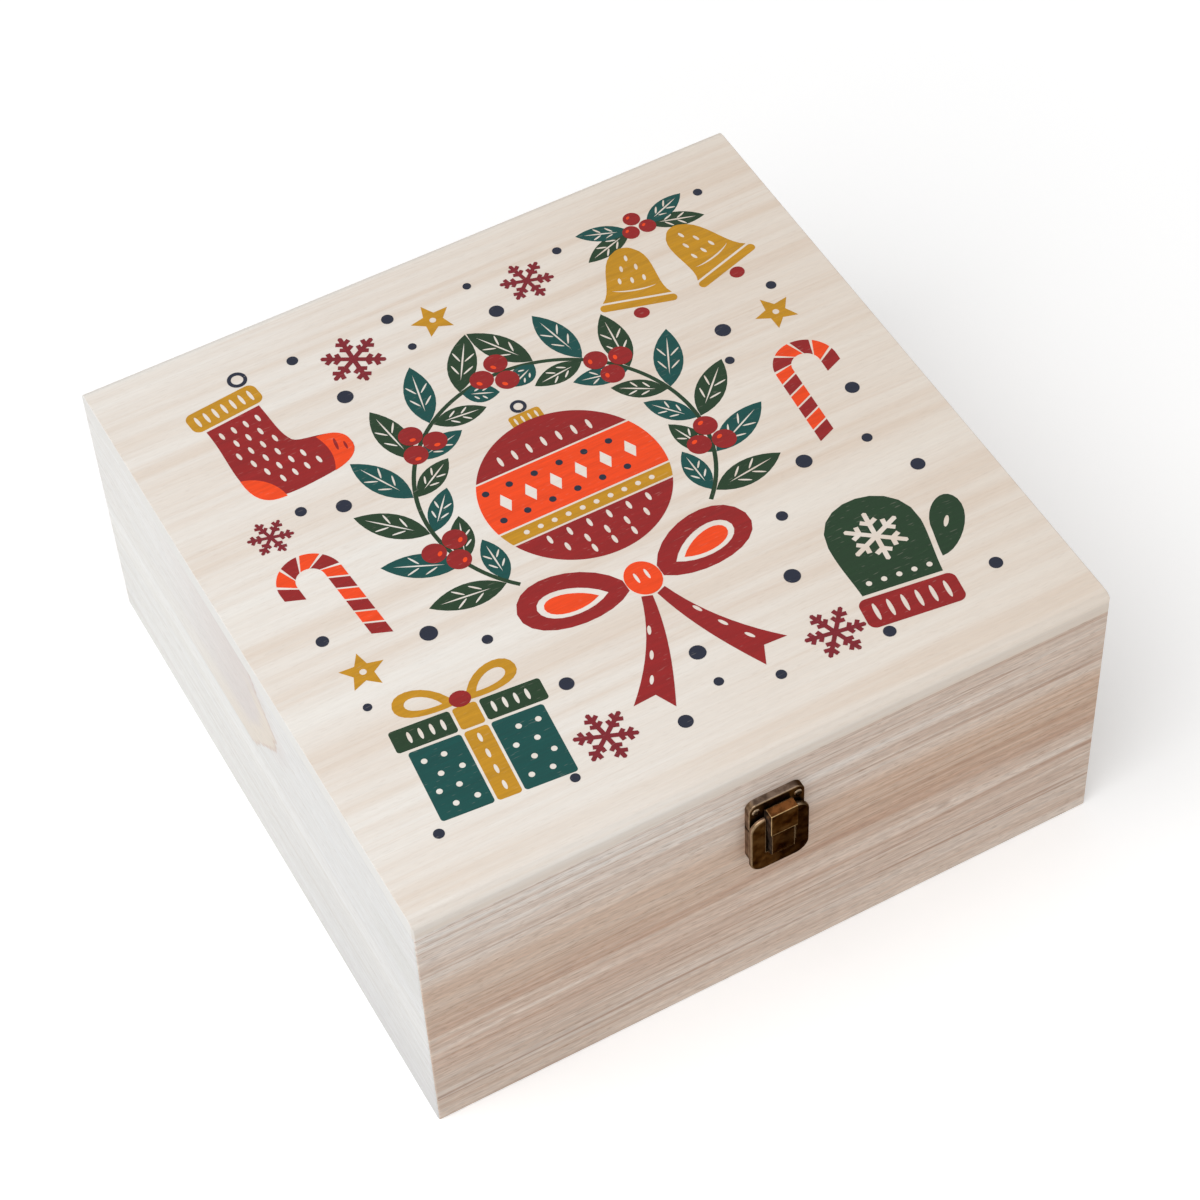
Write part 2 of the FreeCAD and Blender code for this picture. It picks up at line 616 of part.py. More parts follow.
def write_subparts():
    """Check every object, then write each sub-part to its own file."""
    for item in doc.Objects:
        if {"Invalid", "Error"} & set(item.State):
            raise RuntimeError(f"{item.Label} failed: {item.State}")
    for item in subparts:
        if item.Shape.isNull() or not item.Shape.isValid() or not item.Shape.Solids:
            raise RuntimeError(f"{item.Label} has no valid solid")
    os.makedirs("parts", exist_ok=True)
    for item in subparts:
        item.Shape.exportStep(f"parts/{item.Label}.step")


boards()
bottom_panel()
lid_top_panel()
hinges()
clasp()
doc.recompute()
write_subparts()
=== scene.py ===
import math
from collections import namedtuple

import bmesh
import bpy
from mathutils import Matrix, Vector
from mathutils.geometry import tessellate_polygon


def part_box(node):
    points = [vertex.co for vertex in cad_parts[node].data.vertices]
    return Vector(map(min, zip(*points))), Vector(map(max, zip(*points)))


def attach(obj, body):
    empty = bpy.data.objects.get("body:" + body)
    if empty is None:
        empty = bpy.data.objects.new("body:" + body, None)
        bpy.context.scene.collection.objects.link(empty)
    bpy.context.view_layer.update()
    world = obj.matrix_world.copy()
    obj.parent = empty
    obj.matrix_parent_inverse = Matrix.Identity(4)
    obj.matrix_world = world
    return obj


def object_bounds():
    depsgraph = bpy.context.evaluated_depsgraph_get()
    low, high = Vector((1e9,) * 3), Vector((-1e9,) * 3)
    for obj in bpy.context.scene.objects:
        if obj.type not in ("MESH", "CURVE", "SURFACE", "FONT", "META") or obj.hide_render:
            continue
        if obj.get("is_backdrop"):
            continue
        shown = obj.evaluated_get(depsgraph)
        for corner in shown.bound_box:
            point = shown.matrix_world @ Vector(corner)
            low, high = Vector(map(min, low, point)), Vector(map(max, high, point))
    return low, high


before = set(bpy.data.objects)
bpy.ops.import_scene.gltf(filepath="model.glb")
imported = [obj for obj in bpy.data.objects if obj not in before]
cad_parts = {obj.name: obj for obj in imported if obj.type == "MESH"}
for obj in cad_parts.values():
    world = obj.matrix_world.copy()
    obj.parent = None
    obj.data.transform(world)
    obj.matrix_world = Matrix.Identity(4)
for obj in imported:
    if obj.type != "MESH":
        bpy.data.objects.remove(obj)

CAD_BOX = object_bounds()
SEAM_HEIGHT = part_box("lid_front_rail")[0].z
PANEL_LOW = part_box("lid_top_panel")[0].z
PANEL_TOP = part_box("lid_top_panel")[1].z
MM = 0.001

# Camera: degrees round the box from straight in front, above the floor, and of roll; metres; lens in mm.
AZIMUTH = -26.15
ELEVATION = 51.15
ROLL = -3.33
DISTANCE = 1.440
AIM_RIGHT = 0.0032
AIM_UP = 0.0422
LENS = 101.4

# Light: the room's own level, one large soft lamp on the left, and a small one for glints on the metal.
ROOM_LEVEL = 0.5
BACKGROUND_LEVEL = 1.0
LAMP_TOWARDS = (-0.50, -0.16, 0.85)
LAMP_DISTANCE = 2.2
LAMP_SIZE = 2.0
LAMP_WATTS = 30.0
GLINT_TOWARDS = (0.40, -0.80, 0.45)
GLINT_DISTANCE = 1.6
GLINT_SIZE = 0.2
GLINT_WATTS = 0.5

# Floor: its size and its shade, and how its glow grows with the distance from the box.
FLOOR_HALF = 4.0
FLOOR_DROP = 0.0001
FLOOR_PALE = 0.9
FLOOR_SPECK = 0.01
FLOOR_SPECK_AT = (0.3, 0.7)
FLOOR_CELL = (0.4, 0.4, 0.4)
FLOOR_DETAIL = 2.0
FLOOR_SEED = 0.5
FLOOR_ROUGHNESS = 0.9
FLOOR_GLOW = 0.22
FLOOR_FADE = (0.3, 1.6)


def paint(red, green, blue):
    """A colour as it shows on a screen, 0 to 255, turned into the shader's own scale."""
    shown = [value / 255 for value in (red, green, blue)]
    scaled = [s / 12.92 if s <= 0.04045 else ((s + 0.055) / 1.055) ** 2.4 for s in shown]
    return (*scaled, 1.0)


def grey(level):
    return (level, level, level, 1.0)


class Shader:
    """A material's nodes, added by calls that give back the new node's output."""

    def __init__(self, name):
        self.material = bpy.data.materials.new(name)
        self.material.use_nodes = True
        self.tree = self.material.node_tree
        self.surface = self.tree.nodes["Principled BSDF"]

    def feed(self, node, inputs):
        for key, given in inputs.items():
            if isinstance(given, bpy.types.NodeSocket):
                self.tree.links.new(given, node.inputs[key])
            else:
                node.inputs[key].default_value = given

    def node(self, kind, inputs, out=0, **settings):
        added = self.tree.nodes.new(kind)
        for key, setting in settings.items():
            setattr(added, key, setting)
        self.feed(added, inputs)
        return added.outputs[out]

    def math(self, operation, first, *others):
        """One operation on a number, or on several from the left."""
        if not others:
            return self.node("ShaderNodeMath", {0: first}, operation=operation)
        for other in others:
            first = self.node("ShaderNodeMath", {0: first, 1: other}, operation=operation)
        return first

    def plus(self, *numbers):
        return self.math("ADD", *numbers)

    def minus(self, first, second):
        return self.math("SUBTRACT", first, second)

    def times(self, *numbers):
        return self.math("MULTIPLY", *numbers)

    def largest(self, *numbers):
        return self.math("MAXIMUM", *numbers)

    def size_of(self, number):
        return self.math("ABSOLUTE", number)

    def place(self, out="Object"):
        return self.node("ShaderNodeTexCoord", {}, out=out)

    def parts(self, vector):
        split = self.tree.nodes.new("ShaderNodeSeparateXYZ")
        self.feed(split, {0: vector})
        return split.outputs[:]

    def joined(self, x, y, z):
        return self.node("ShaderNodeCombineXYZ", {0: x, 1: y, 2: z})

    def noise(self, vector, cell, detail, seed, roughness=0.5):
        """Noise with cells of the given sizes in metres."""
        scaled = self.node("ShaderNodeVectorMath", {0: vector, 1: cell}, operation="DIVIDE")
        inputs = {"Vector": scaled, "W": seed, "Scale": 1.0, "Detail": detail, "Roughness": roughness}
        return self.node("ShaderNodeTexNoise", inputs, noise_dimensions="4D")

    def span(self, given, low, high, first=0.0, last=1.0):
        """The given number, eased from first to last as it goes from low to high."""
        inputs = {0: given, 1: low, 2: high, 3: first, 4: last}
        return self.node("ShaderNodeMapRange", inputs, interpolation_type="SMOOTHSTEP")

    def area(self, *limits):
        """The product of several spans, each a number and its range."""
        return self.times(*(self.span(given, *within) for given, within in limits))

    def ramp(self, given, *stops):
        added = self.tree.nodes.new("ShaderNodeValToRGB")
        self.feed(added, {0: given})
        elements = added.color_ramp.elements
        while len(elements) < len(stops):
            elements.new(1.0)
        for element, (position, colour) in zip(elements, stops):
            element.position = position
            element.color = colour
        return added.outputs[0]

    def mix(self, share, first, second, blend_type="MIX"):
        inputs = {0: share, 6: first, 7: second}
        return self.node("ShaderNodeMix", inputs, out=2, data_type="RGBA", blend_type=blend_type)

    def tinted(self, share, colour, tint):
        """The colour with its red, green and blue multiplied by the tint where the share is 1."""
        other = self.mix(1.0, colour, (*tint, 1.0), "MULTIPLY")
        return self.mix(share, colour, other)

    def shaded(self, colour, given, shades):
        """The colour made lighter or darker by shades along the given number."""
        ramp = self.ramp(given, *((at, grey(shade)) for at, shade in shades))
        return self.mix(1.0, colour, ramp, "MULTIPLY")

    def finish(self, colour, roughness, height, bump, plain):
        """The material, with a bump from the height, and plain values on the surface's own sockets."""
        strength, distance = bump
        inputs = {"Height": height, "Strength": strength, "Distance": distance}
        normal = self.node("ShaderNodeBump", inputs)
        self.feed(self.surface, {"Base Color": colour, "Roughness": roughness, "Normal": normal, **plain})
        return self.material


# Wood. Every board is cut from one volume of grain, so the lid and the base match at the seam.
# The grain's noises: cell in metres, along the grain and then across it twice; detail; seed; roughness.
NOISES = {
    "drift": ((0.22, 0.05, 0.05), 1.0, 0.0, 0.5),
    "cloud": ((0.09, 0.035, 0.035), 2.0, 0.3, 0.5),
    "band": ((0.8, 0.009, 0.009), 1.0, 1.1, 0.5),
    "line": ((0.10, 0.0020, 0.0020), 3.0, 2.7, 0.62),
    "fibre": ((0.006, 0.0007, 0.0007), 1.0, 3.9, 0.5),
    "ring": ((0.8, 0.0075, 0.0075), 1.0, 4.6, 0.5),
    "pore": ((0.0035, 0.0005, 0.0005), 0.0, 5.3, 0.5),
    "break": ((0.35, 0.012, 0.012), 2.0, 6.4, 0.5),
    "patch": ((0.09, 0.0030, 0.0030), 3.0, 7.7, 0.6),
}
# Reaches, shifts and the glue line in metres; rings, breaks and patches on the noise's own scale.
NOISE_MIDDLE = 0.5
DRIFT_REACH = 0.004
RING_HALF = 0.016
RING_BREAKS = (0.38, 0.62)
PATCH_AT = (0.52, 0.70)
STRIP_SHIFT = 0.83
GLUE_HALF = 0.0006

# The colour: where the dark, middle and pale tones lie, the share of clouds in it, and how far the
# clouds shift a board's broad shades.
TONE_AT = (0.36, 0.50, 0.64)
CLOUD_SHARE = 0.12
SHADE_DRIFT = 0.03

# The finish: how much the fibres darken and lighten, then pores, glue, gloss and bump.
FIBRE_AT = (0.30, 0.70)
FIBRE_DARKER = 0.10
FIBRE_PALER = 0.07
PORE_AT = (0.64, 0.78)
PORE_SHARE = 0.26
PORE_BROWN = paint(150, 116, 90)
GLUE_SHARE = 0.12
GLUE_BROWN = paint(160, 140, 122)
LINE_HEIGHT = 0.6
GLOSS_AT = (0.25, 0.75)
WOOD_ROUGHNESS = (0.52, 0.68)
GRAIN_BUMP = (0.2, 0.0001)
WOOD_SPECULAR = 0.3

# A board's wood: its grain's direction and seed, the height of the glue line between its two strips,
# its tones, the shares of its growth rings, patches and bands, and how much its fibres show.
Wood = namedtuple(
    "Wood", "along_x seed glue dark middle pale streak ring_share patch_share band_share contrast",
    defaults=(0.34, 1.0))
NO_GLUE = 1.0
WOODS = {
    # The front's browner tones are partly painted shade, for the shade on that side.
    "front": Wood(
        along_x=True, seed=7.2, glue=0.056,
        dark=paint(197, 167, 147), middle=paint(219, 199, 183), pale=paint(231, 219, 208),
        streak=paint(168, 124, 98), ring_share=0.62, patch_share=0.22, band_share=0.46, contrast=1.35),
    # The left's near-white tones are partly painted light, for the strong light on that side.
    "left": Wood(
        along_x=False, seed=4.4, glue=0.071,
        dark=paint(227, 225, 220), middle=paint(234, 233, 230), pale=paint(238, 238, 236),
        streak=paint(218, 213, 206), ring_share=0.30, patch_share=0.12, contrast=0.6),
    "back": Wood(
        along_x=True, seed=12.9, glue=0.064,
        dark=paint(206, 184, 164), middle=paint(221, 206, 190), pale=paint(232, 221, 209),
        streak=paint(184, 148, 120), ring_share=0.5, patch_share=0.18),
    "right": Wood(
        along_x=False, seed=17.6, glue=0.059,
        dark=paint(208, 187, 168), middle=paint(222, 207, 192), pale=paint(232, 222, 211),
        streak=paint(186, 150, 124), ring_share=0.5, patch_share=0.18),
    "top": Wood(
        along_x=True, seed=1.5, glue=NO_GLUE,
        dark=paint(225, 212, 199), middle=paint(231, 223, 214), pale=paint(235, 230, 223),
        streak=paint(216, 195, 178), ring_share=0.24, patch_share=0.12, band_share=0.58, contrast=0.26),
    "bottom": Wood(
        along_x=True, seed=21.3, glue=NO_GLUE,
        dark=paint(208, 188, 167), middle=paint(223, 208, 191), pale=paint(232, 221, 207),
        streak=paint(186, 150, 122), ring_share=0.5, patch_share=0.18),
}


def wood_grain(shader, wood):
    """The parts of the grain along x or y, with another piece of wood above the glue line."""

    def noise(name, vector):
        cell, detail, seed, roughness = NOISES[name]
        return shader.noise(vector, cell, detail, wood.seed + seed, roughness)

    x, y, z = shader.parts(shader.place())
    along, across = (x, y) if wood.along_x else (y, x)
    above = shader.math("GREATER_THAN", z, wood.glue)
    along = shader.plus(along, shader.times(above, STRIP_SHIFT))
    level = shader.joined(along, across, z)
    drift = shader.times(shader.minus(noise("drift", level), NOISE_MIDDLE), DRIFT_REACH)
    wavy = shader.joined(along, shader.plus(across, drift), shader.plus(z, drift))
    grain = {name: noise(name, wavy) for name in ("band", "line", "fibre", "pore")}
    grain["cloud"] = noise("cloud", level)
    ring = shader.size_of(shader.minus(noise("ring", wavy), NOISE_MIDDLE))
    unbroken = shader.span(noise("break", wavy), *RING_BREAKS)
    grain["ring"] = shader.times(shader.span(ring, 0.0, RING_HALF, 1.0, 0.0), unbroken)
    grain["patch"] = shader.span(noise("patch", wavy), *PATCH_AT)
    glue = shader.size_of(shader.minus(z, wood.glue))
    grain["glue"] = shader.span(glue, 0.0, GLUE_HALF, 1.0, 0.0)
    return grain, (x, y, z)


def toned(shader, grain, wood):
    """The wood's own colour from its bands and lines, with darker patches and thin growth rings."""
    line_share = 1 - CLOUD_SHARE - wood.band_share
    tone = shader.plus(shader.times(grain["band"], wood.band_share),
                       shader.times(grain["line"], line_share),
                       shader.times(grain["cloud"], CLOUD_SHARE))
    colour = shader.ramp(tone, *zip(TONE_AT, (wood.dark, wood.middle, wood.pale)))
    for part, share in (("patch", wood.patch_share), ("ring", wood.ring_share)):
        colour = shader.mix(shader.times(grain[part], share), colour, wood.streak)
    return colour


def finish_wood(shader, grain, colour, contrast):
    """Fibres and pores over the colour, and the same fibres in the gloss and the bump."""
    fibres = zip(FIBRE_AT, (1 - FIBRE_DARKER * contrast, 1 + FIBRE_PALER * contrast))
    colour = shader.shaded(colour, grain["fibre"], fibres)
    pores = shader.span(grain["pore"], *PORE_AT, 0.0, PORE_SHARE * contrast)
    colour = shader.mix(pores, colour, PORE_BROWN)
    colour = shader.mix(shader.times(grain["glue"], GLUE_SHARE), colour, GLUE_BROWN)
    height = shader.plus(shader.times(grain["line"], LINE_HEIGHT), grain["fibre"])
    roughness = shader.span(grain["fibre"], *GLOSS_AT, *WOOD_ROUGHNESS)
    return shader.finish(colour, roughness, height, GRAIN_BUMP, {"Specular IOR Level": WOOD_SPECULAR})


def oval_far(shader, first, second, middle, half):
    """The square of the distance from an oval's middle, 1 on its rim."""
    sideways = shader.math("DIVIDE", shader.minus(first, middle[0]), half[0])
    upward = shader.math("DIVIDE", shader.minus(second, middle[1]), half[1])
    return shader.plus(shader.times(sideways, sideways), shader.times(upward, upward))


def grown(shader, colour, height, grain, shades):
    """The colour under shades given at heights in shares of the box, a little cloudy."""
    share = shader.math("DIVIDE", height, CAD_BOX[1].z)
    share = shader.plus(share, shader.times(grain["cloud"], SHADE_DRIFT))
    return shader.shaded(colour, share, shades)


# What only one board shows. A range here is the two places, in metres, between which a share grows
# from 0 to 1, or goes from the third number to the fourth.
# Top: warmer to the right, with painted light that makes its front and back edges a little paler and
# its left end white, and painted light and shade on its rounding. The ranges of the edges and the end,
# and the shades of the rounding, are by how far the surface faces that way.
PANEL_WARM_ALONG = (-0.09, 0.13)
PANEL_WARM_TINT = (0.97, 0.93, 0.89)
PANEL_EDGE_FACING = (0.4, 1.0)
PANEL_EDGE_PAINTED_LIGHT = (1.02, 1.035, 1.044)
PANEL_END_FACING = (-0.5, -0.9, 0.0, 0.9)
PANEL_END_PAINTED_WHITE = paint(230, 229, 226)
PANEL_ROUND_PAINTED_SHADES = ((0.0, 1.0), (0.26, 1.06), (0.70, 1.0), (0.95, 0.92), (1.0, 1.0))


def dress_top(shader, colour, place, _):
    """Cream wood with painted light and shade on its rounded edges and a painted white left end."""
    colour = shader.tinted(shader.span(place[0], *PANEL_WARM_ALONG), colour, PANEL_WARM_TINT)
    right, back, up = shader.parts(shader.place("Normal"))
    # Painted light and shade by facing: on the rounding, on the front and back edges, and on the left end.
    colour = shader.shaded(colour, up, PANEL_ROUND_PAINTED_SHADES)
    outward = shader.largest(shader.size_of(back), right)
    colour = shader.tinted(shader.span(outward, *PANEL_EDGE_FACING), colour, PANEL_EDGE_PAINTED_LIGHT)
    return shader.mix(shader.span(right, *PANEL_END_FACING), colour, PANEL_END_PAINTED_WHITE)


# Left: heartwood in its upper strip, as a wedge by its tip along y and z and its slope; how far parts
# of the grain move its outline; and how it fades along y.
HEART_TIP = (-0.027, 0.104)
HEART_SLOPE = 1.15
HEART_ROUND = 0.010
HEART_DRIFTS = (("cloud", 0.022), ("band", 0.014), ("line", 0.009))
HEART_FADE = (-0.02, 0.095, 0.9, 0.10)
HEART_PINK = paint(222, 213, 208)
HEART_YELLOW = paint(231, 220, 206)
HEART_RIM = 0.0016
HEART_RIM_SHARE = 0.5
HEART_RIM_BROWN = paint(206, 176, 158)
# The heartwood turns yellow near its rim, below a height, and all over low down.
YELLOW_DEPTH = (0.018, 0.008)
YELLOW_BELOW = (0.124, 0.110)
YELLOW_LOW = (0.092, 0.076)
# A shade just outside its tip: outwards from the rim, inwards from it, and by height.
BESIDE_OUT = (-0.016, -0.002)
BESIDE_IN = (0.0, 0.004, 1.0, 0.0)
BESIDE_UP = (0.080, 0.100)
BESIDE_TINT = (0.965, 0.94, 0.935)
# A faint grey spot in that strip, near the front: its middle along y and z, and its half sizes.
SPOT_MIDDLE = (-0.135, 0.094)
SPOT_HALF = (0.030, 0.017)
SPOT_EDGE = (0.1, 1.0, 1.0, 0.0)
SPOT_TINT = (0.96, 0.96, 0.95)
# Lighter and darker growth, as heights in shares of the box and shades; then painted shade towards
# the front, and more of it low down at the front.
LEFT_SHADES = ((0.05, 0.98), (0.36, 1.0), (0.42, 1.05), (0.50, 1.05), (0.54, 1.0), (1.0, 1.01))
FRONTWARD = (0.14, -0.12)
FRONTWARD_PAINTED_SHADE = (0.92, 0.92, 0.93)
LOW_FRONT_UP = (0.05, 0.0)
LOW_FRONT_ALONG = (0.0, -0.13)
LOW_FRONT_PAINTED_SHADE = (0.93, 0.93, 0.94)


def heart_depth(shader, grain, y, z):
    """How far a point lies inside the heartwood's ragged outline."""
    rise = shader.minus(z, HEART_TIP[1])
    rise = shader.plus(shader.times(rise, rise), HEART_ROUND**2)
    reach = shader.times(shader.math("SQRT", rise), HEART_SLOPE)
    depth = shader.minus(shader.minus(y, reach), HEART_TIP[0] - HEART_SLOPE * HEART_ROUND)
    for part, share in HEART_DRIFTS:
        drift = shader.times(shader.minus(grain[part], NOISE_MIDDLE), share)
        depth = shader.plus(depth, drift)
    return depth


def dress_left(shader, colour, place, grain):
    """Pale wood with one patch of heartwood that ends at the glue line and at the lid's panel."""
    _, y, z = place
    depth = heart_depth(shader, grain, y, z)
    in_strip = shader.times(shader.math("GREATER_THAN", z, WOODS["left"].glue),
                            shader.math("LESS_THAN", z, PANEL_LOW))
    fade = shader.times(in_strip, shader.span(y, *HEART_FADE))
    near_rim = shader.area((depth, YELLOW_DEPTH), (z, YELLOW_BELOW))
    yellow = shader.largest(near_rim, shader.span(z, *YELLOW_LOW))
    heart = shader.mix(yellow, HEART_PINK, HEART_YELLOW)
    inside = shader.span(depth, -HEART_RIM, HEART_RIM)
    colour = shader.mix(shader.times(inside, fade), colour, heart)
    rim = shader.span(shader.size_of(depth), 0.0, HEART_RIM, HEART_RIM_SHARE, 0.0)
    colour = shader.mix(shader.times(rim, fade), colour, HEART_RIM_BROWN)
    beside = shader.area((depth, BESIDE_OUT), (z, BESIDE_UP), (depth, BESIDE_IN))
    colour = shader.tinted(shader.times(beside, in_strip), colour, BESIDE_TINT)
    spot = shader.span(oval_far(shader, y, z, SPOT_MIDDLE, SPOT_HALF), *SPOT_EDGE)
    colour = shader.tinted(shader.times(spot, in_strip), colour, SPOT_TINT)
    colour = grown(shader, colour, z, grain, LEFT_SHADES)
    # Painted shade: darker towards the front, and more so low down at the front.
    colour = shader.tinted(shader.span(y, *FRONTWARD), colour, FRONTWARD_PAINTED_SHADE)
    low_front = shader.area((z, LOW_FRONT_UP), (y, LOW_FRONT_ALONG))
    return shader.tinted(low_front, colour, LOW_FRONT_PAINTED_SHADE)


# Front: darker and lighter growth, as heights in shares of the box and shades.
FRONT_SHADES = ((0.06, 1.01), (0.14, 0.95), (0.25, 0.96), (0.36, 1.01), (0.45, 0.97), (0.55, 0.87),
                (0.70, 0.96), (0.86, 1.00), (0.90, 0.97), (1.00, 1.02))
# Three tinted areas by their ranges upward and along x. The ruddy band's upward range is the distance
# from its middle height.
PALE_CORNER_UP = (0.085, 0.122)
PALE_CORNER_ALONG = (0.14, -0.10, 0.1, 1.0)
PALE_CORNER_TINT = (1.08, 1.17, 1.25)
RUDDY_MIDDLE = 0.077
RUDDY_UP = (0.006, 0.026, 1.0, 0.0)
RUDDY_ALONG = (-0.10, 0.12, 0.6, 1.0)
RUDDY_TINT = (1.0, 0.89, 0.80)
LOW_LEFT_UP = (0.04, 0.02)
LOW_LEFT_ALONG = (-0.03, -0.10)
LOW_LEFT_TINT = (0.90, 0.89, 0.88)
# Small knots, each as its place along x and z and its half length; how ragged and how dark they are.
FRONT_KNOTS = ((-0.116, 0.048, 0.004), (-0.125, 0.020, 0.0016), (0.079, 0.050, 0.005))
KNOT_FLATNESS = 0.55
KNOT_RAGGED = 0.8
KNOT_EDGE = (0.3, 1.4, 0.35, 0.0)
KNOT_BROWN = paint(150, 116, 92)


def dress_front(shader, colour, place, grain):
    """Brown streaks, with broad darker and lighter growth and three small knots."""
    x, _, z = place
    colour = grown(shader, colour, z, grain, FRONT_SHADES)
    # Paler and cooler towards the top left.
    pale_corner = shader.area((z, PALE_CORNER_UP), (x, PALE_CORNER_ALONG))
    colour = shader.tinted(pale_corner, colour, PALE_CORNER_TINT)
    from_middle = shader.size_of(shader.minus(z, RUDDY_MIDDLE))
    ruddy = shader.area((from_middle, RUDDY_UP), (x, RUDDY_ALONG))
    colour = shader.tinted(ruddy, colour, RUDDY_TINT)
    low_left = shader.area((z, LOW_LEFT_UP), (x, LOW_LEFT_ALONG))
    colour = shader.tinted(low_left, colour, LOW_LEFT_TINT)
    for knot_x, knot_z, half in FRONT_KNOTS:
        far = oval_far(shader, x, z, (knot_x, knot_z), (half, half * KNOT_FLATNESS))
        far = shader.plus(far, shader.times(grain["fibre"], KNOT_RAGGED))
        colour = shader.mix(shader.span(far, *KNOT_EDGE), colour, KNOT_BROWN)
    return colour


def board_wood(name, dress=None):
    """A board's wood, and over it what only that board shows."""
    shader = Shader("wood_" + name)
    wood = WOODS[name]
    grain, place = wood_grain(shader, wood)
    colour = toned(shader, grain, wood)
    if dress:
        colour = dress(shader, colour, place, grain)
    return finish_wood(shader, grain, colour, wood.contrast)


# Ink on the lid: streaks and fibres of the wood under it as shades, bare pores, gloss.
INK_STREAKS = ((0.30, 0.90), (0.70, 1.08))
INK_FIBRES = ((0.30, 0.92), (0.70, 1.05))
INK_PORES = (0.70, 0.84, 0.0, 0.10)
BARE_WOOD = paint(226, 214, 202)
INK_ROUGHNESS = (0.48, 0.62)
INK_SPECULAR = 0.25


def ink(name, colour):
    """The lid's own fibres show through the ink as faint streaks and bare pores."""
    shader = Shader("ink_" + name)
    grain, _ = wood_grain(shader, WOODS["top"])
    stained = shader.shaded(colour, grain["line"], INK_STREAKS)
    stained = shader.shaded(stained, grain["fibre"], INK_FIBRES)
    stained = shader.mix(shader.span(grain["pore"], *INK_PORES), stained, BARE_WOOD)
    roughness = shader.span(grain["fibre"], *GLOSS_AT, *INK_ROUGHNESS)
    specular = {"Specular IOR Level": INK_SPECULAR}
    return shader.finish(stained, roughness, grain["fibre"], GRAIN_BUMP, specular)


# Antique bronze. Its noises: cell in metres, detail and seed.
METAL_CLOUD = ((0.004, 0.004, 0.004), 4.0, 2.2)
METAL_SPECK = ((0.0007, 0.0007, 0.0007), 2.0, 6.1)
METAL_SCRATCH = ((0.0035, 0.0035, 0.00022), 2.0, 8.5)
PATINA = ((0.34, paint(46, 30, 16)), (0.50, paint(66, 45, 25)), (0.68, paint(84, 60, 36)))
# The nails' darker patina is partly painted shade, for the dark reflection on their heads.
DARK_PATINA_AND_SHADE = ((0.34, paint(26, 17, 10)), (0.50, paint(38, 26, 15)), (0.68, paint(52, 37, 23)))
# Across the flap, towards its right, the patina is darkened by a painted shade, for a dark reflection.
FLAP_PAINTED_SHADE_ALONG = (-0.006, 0.002)
FLAP_PAINTED_SHADES = ((0.0, 1.0), (1.0, 0.5))
# Edges show by how the normal turns within a radius, and rounds by how far it is from square.
EDGE_RADIUS = 0.0006
EDGE_SAMPLES = 8
EDGE_TURN = (0.995, 0.90)
ROUND_TURN = (0.99, 0.86)
# Wear and rubbing, partly painted light: where they lie in the specks, clouds and facings, and their
# least share. Edges take wear and painted highlights, sides and upward faces painted light; faces to
# the right get less of both, as painted shade, and a nail's rim takes a painted highlight by how far
# it turns from the front.
WEAR_AND_HIGHLIGHT_AT = (0.30, 0.62)
WEAR_AND_HIGHLIGHT_LEAST = 0.5
SIDE_FACING = (0.6, 0.95)
SIDE_CLOUD = (0.3, 0.6)
SIDE_LEAST = 0.45
SIDE_PAINTED_LIGHT = paint(178, 152, 132)
UP_FACING = (0.6, 0.95)
UP_CLOUD = (0.36, 0.60)
UP_LEAST = 0.4
LEFTWARD = (0.05, 0.45, 1.0, 0.1)
NAIL_RIM_FACING = (0.82, 0.50)
# The dark line where the two plates meet, by its distance from the seam: grime and a painted shade of
# the gap.
MEETING_FAR = (0.0003, 0.0007)
MEETING_SHADE_AND_GRIME = paint(14, 9, 5)
# Roughness and bump, and the colour of reflections at a low angle.
DULL_AT = (0.3, 0.7)
DULLER = 0.14
SCRATCH_DULL = 0.10
SCRATCH_DEPTH = 0.8
METAL_BUMP = (0.12, 0.00008)
LOW_ANGLE_TINT = paint(158, 156, 152)

# A metal look: its material's name, how worn and highlit its edges and how rubbed and lit its flats
# are, both partly painted light, its roughness, the colours of edges and of upward faces with their
# painted highlights and sheen, and what only some looks have.
Bronze = namedtuple(
    "Bronze", "material wear rub roughness brass top meeting_line darkens rim patina",
    defaults=(0.0, False, 0.0, PATINA))
DULL_BRASS_AND_HIGHLIGHT = paint(176, 150, 118)
BRIGHT_BRASS_AND_HIGHLIGHT = paint(222, 188, 136)
NAIL_RIM_HIGHLIGHT = paint(186, 162, 134)
GREY_RUB_AND_SHEEN = paint(157, 140, 127)
TAN_RUB_AND_SHEEN = paint(176, 146, 122)
BROWN_RUB_AND_SHEEN = paint(146, 94, 52)
BRONZES = {
    "bronze": Bronze("antique_bronze", 0.5, 0.9, 0.28, DULL_BRASS_AND_HIGHLIGHT, TAN_RUB_AND_SHEEN),
    "plate": Bronze("plate_bronze", 0.5, 0.9, 0.28, DULL_BRASS_AND_HIGHLIGHT, GREY_RUB_AND_SHEEN, meeting_line=0.85),
    "flap": Bronze("flap_bronze", 0.5, 0.9, 0.28, DULL_BRASS_AND_HIGHLIGHT, TAN_RUB_AND_SHEEN, darkens=True),
    "cap": Bronze("rubbed_highlit_bronze", 0.65, 0.9, 0.26, BRIGHT_BRASS_AND_HIGHLIGHT, BROWN_RUB_AND_SHEEN),
    "nails": Bronze("bronze_nails", 0.0, 0.0, 0.05, NAIL_RIM_HIGHLIGHT, GREY_RUB_AND_SHEEN, rim=0.7, patina=DARK_PATINA_AND_SHADE),
}


def metal_edges(shader, level):
    """1 along sharp edges and on rounds, from the normal and from the sizes of its parts."""
    soft = shader.node("ShaderNodeBevel", {"Radius": EDGE_RADIUS}, samples=EDGE_SAMPLES)
    flat = shader.node("ShaderNodeNewGeometry", {}, out="Normal")
    turn = shader.node("ShaderNodeVectorMath", {0: soft, 1: flat}, out="Value", operation="DOT_PRODUCT")
    squarest = shader.largest(*level)
    return shader.largest(shader.span(turn, *EDGE_TURN), shader.span(squarest, *ROUND_TURN))


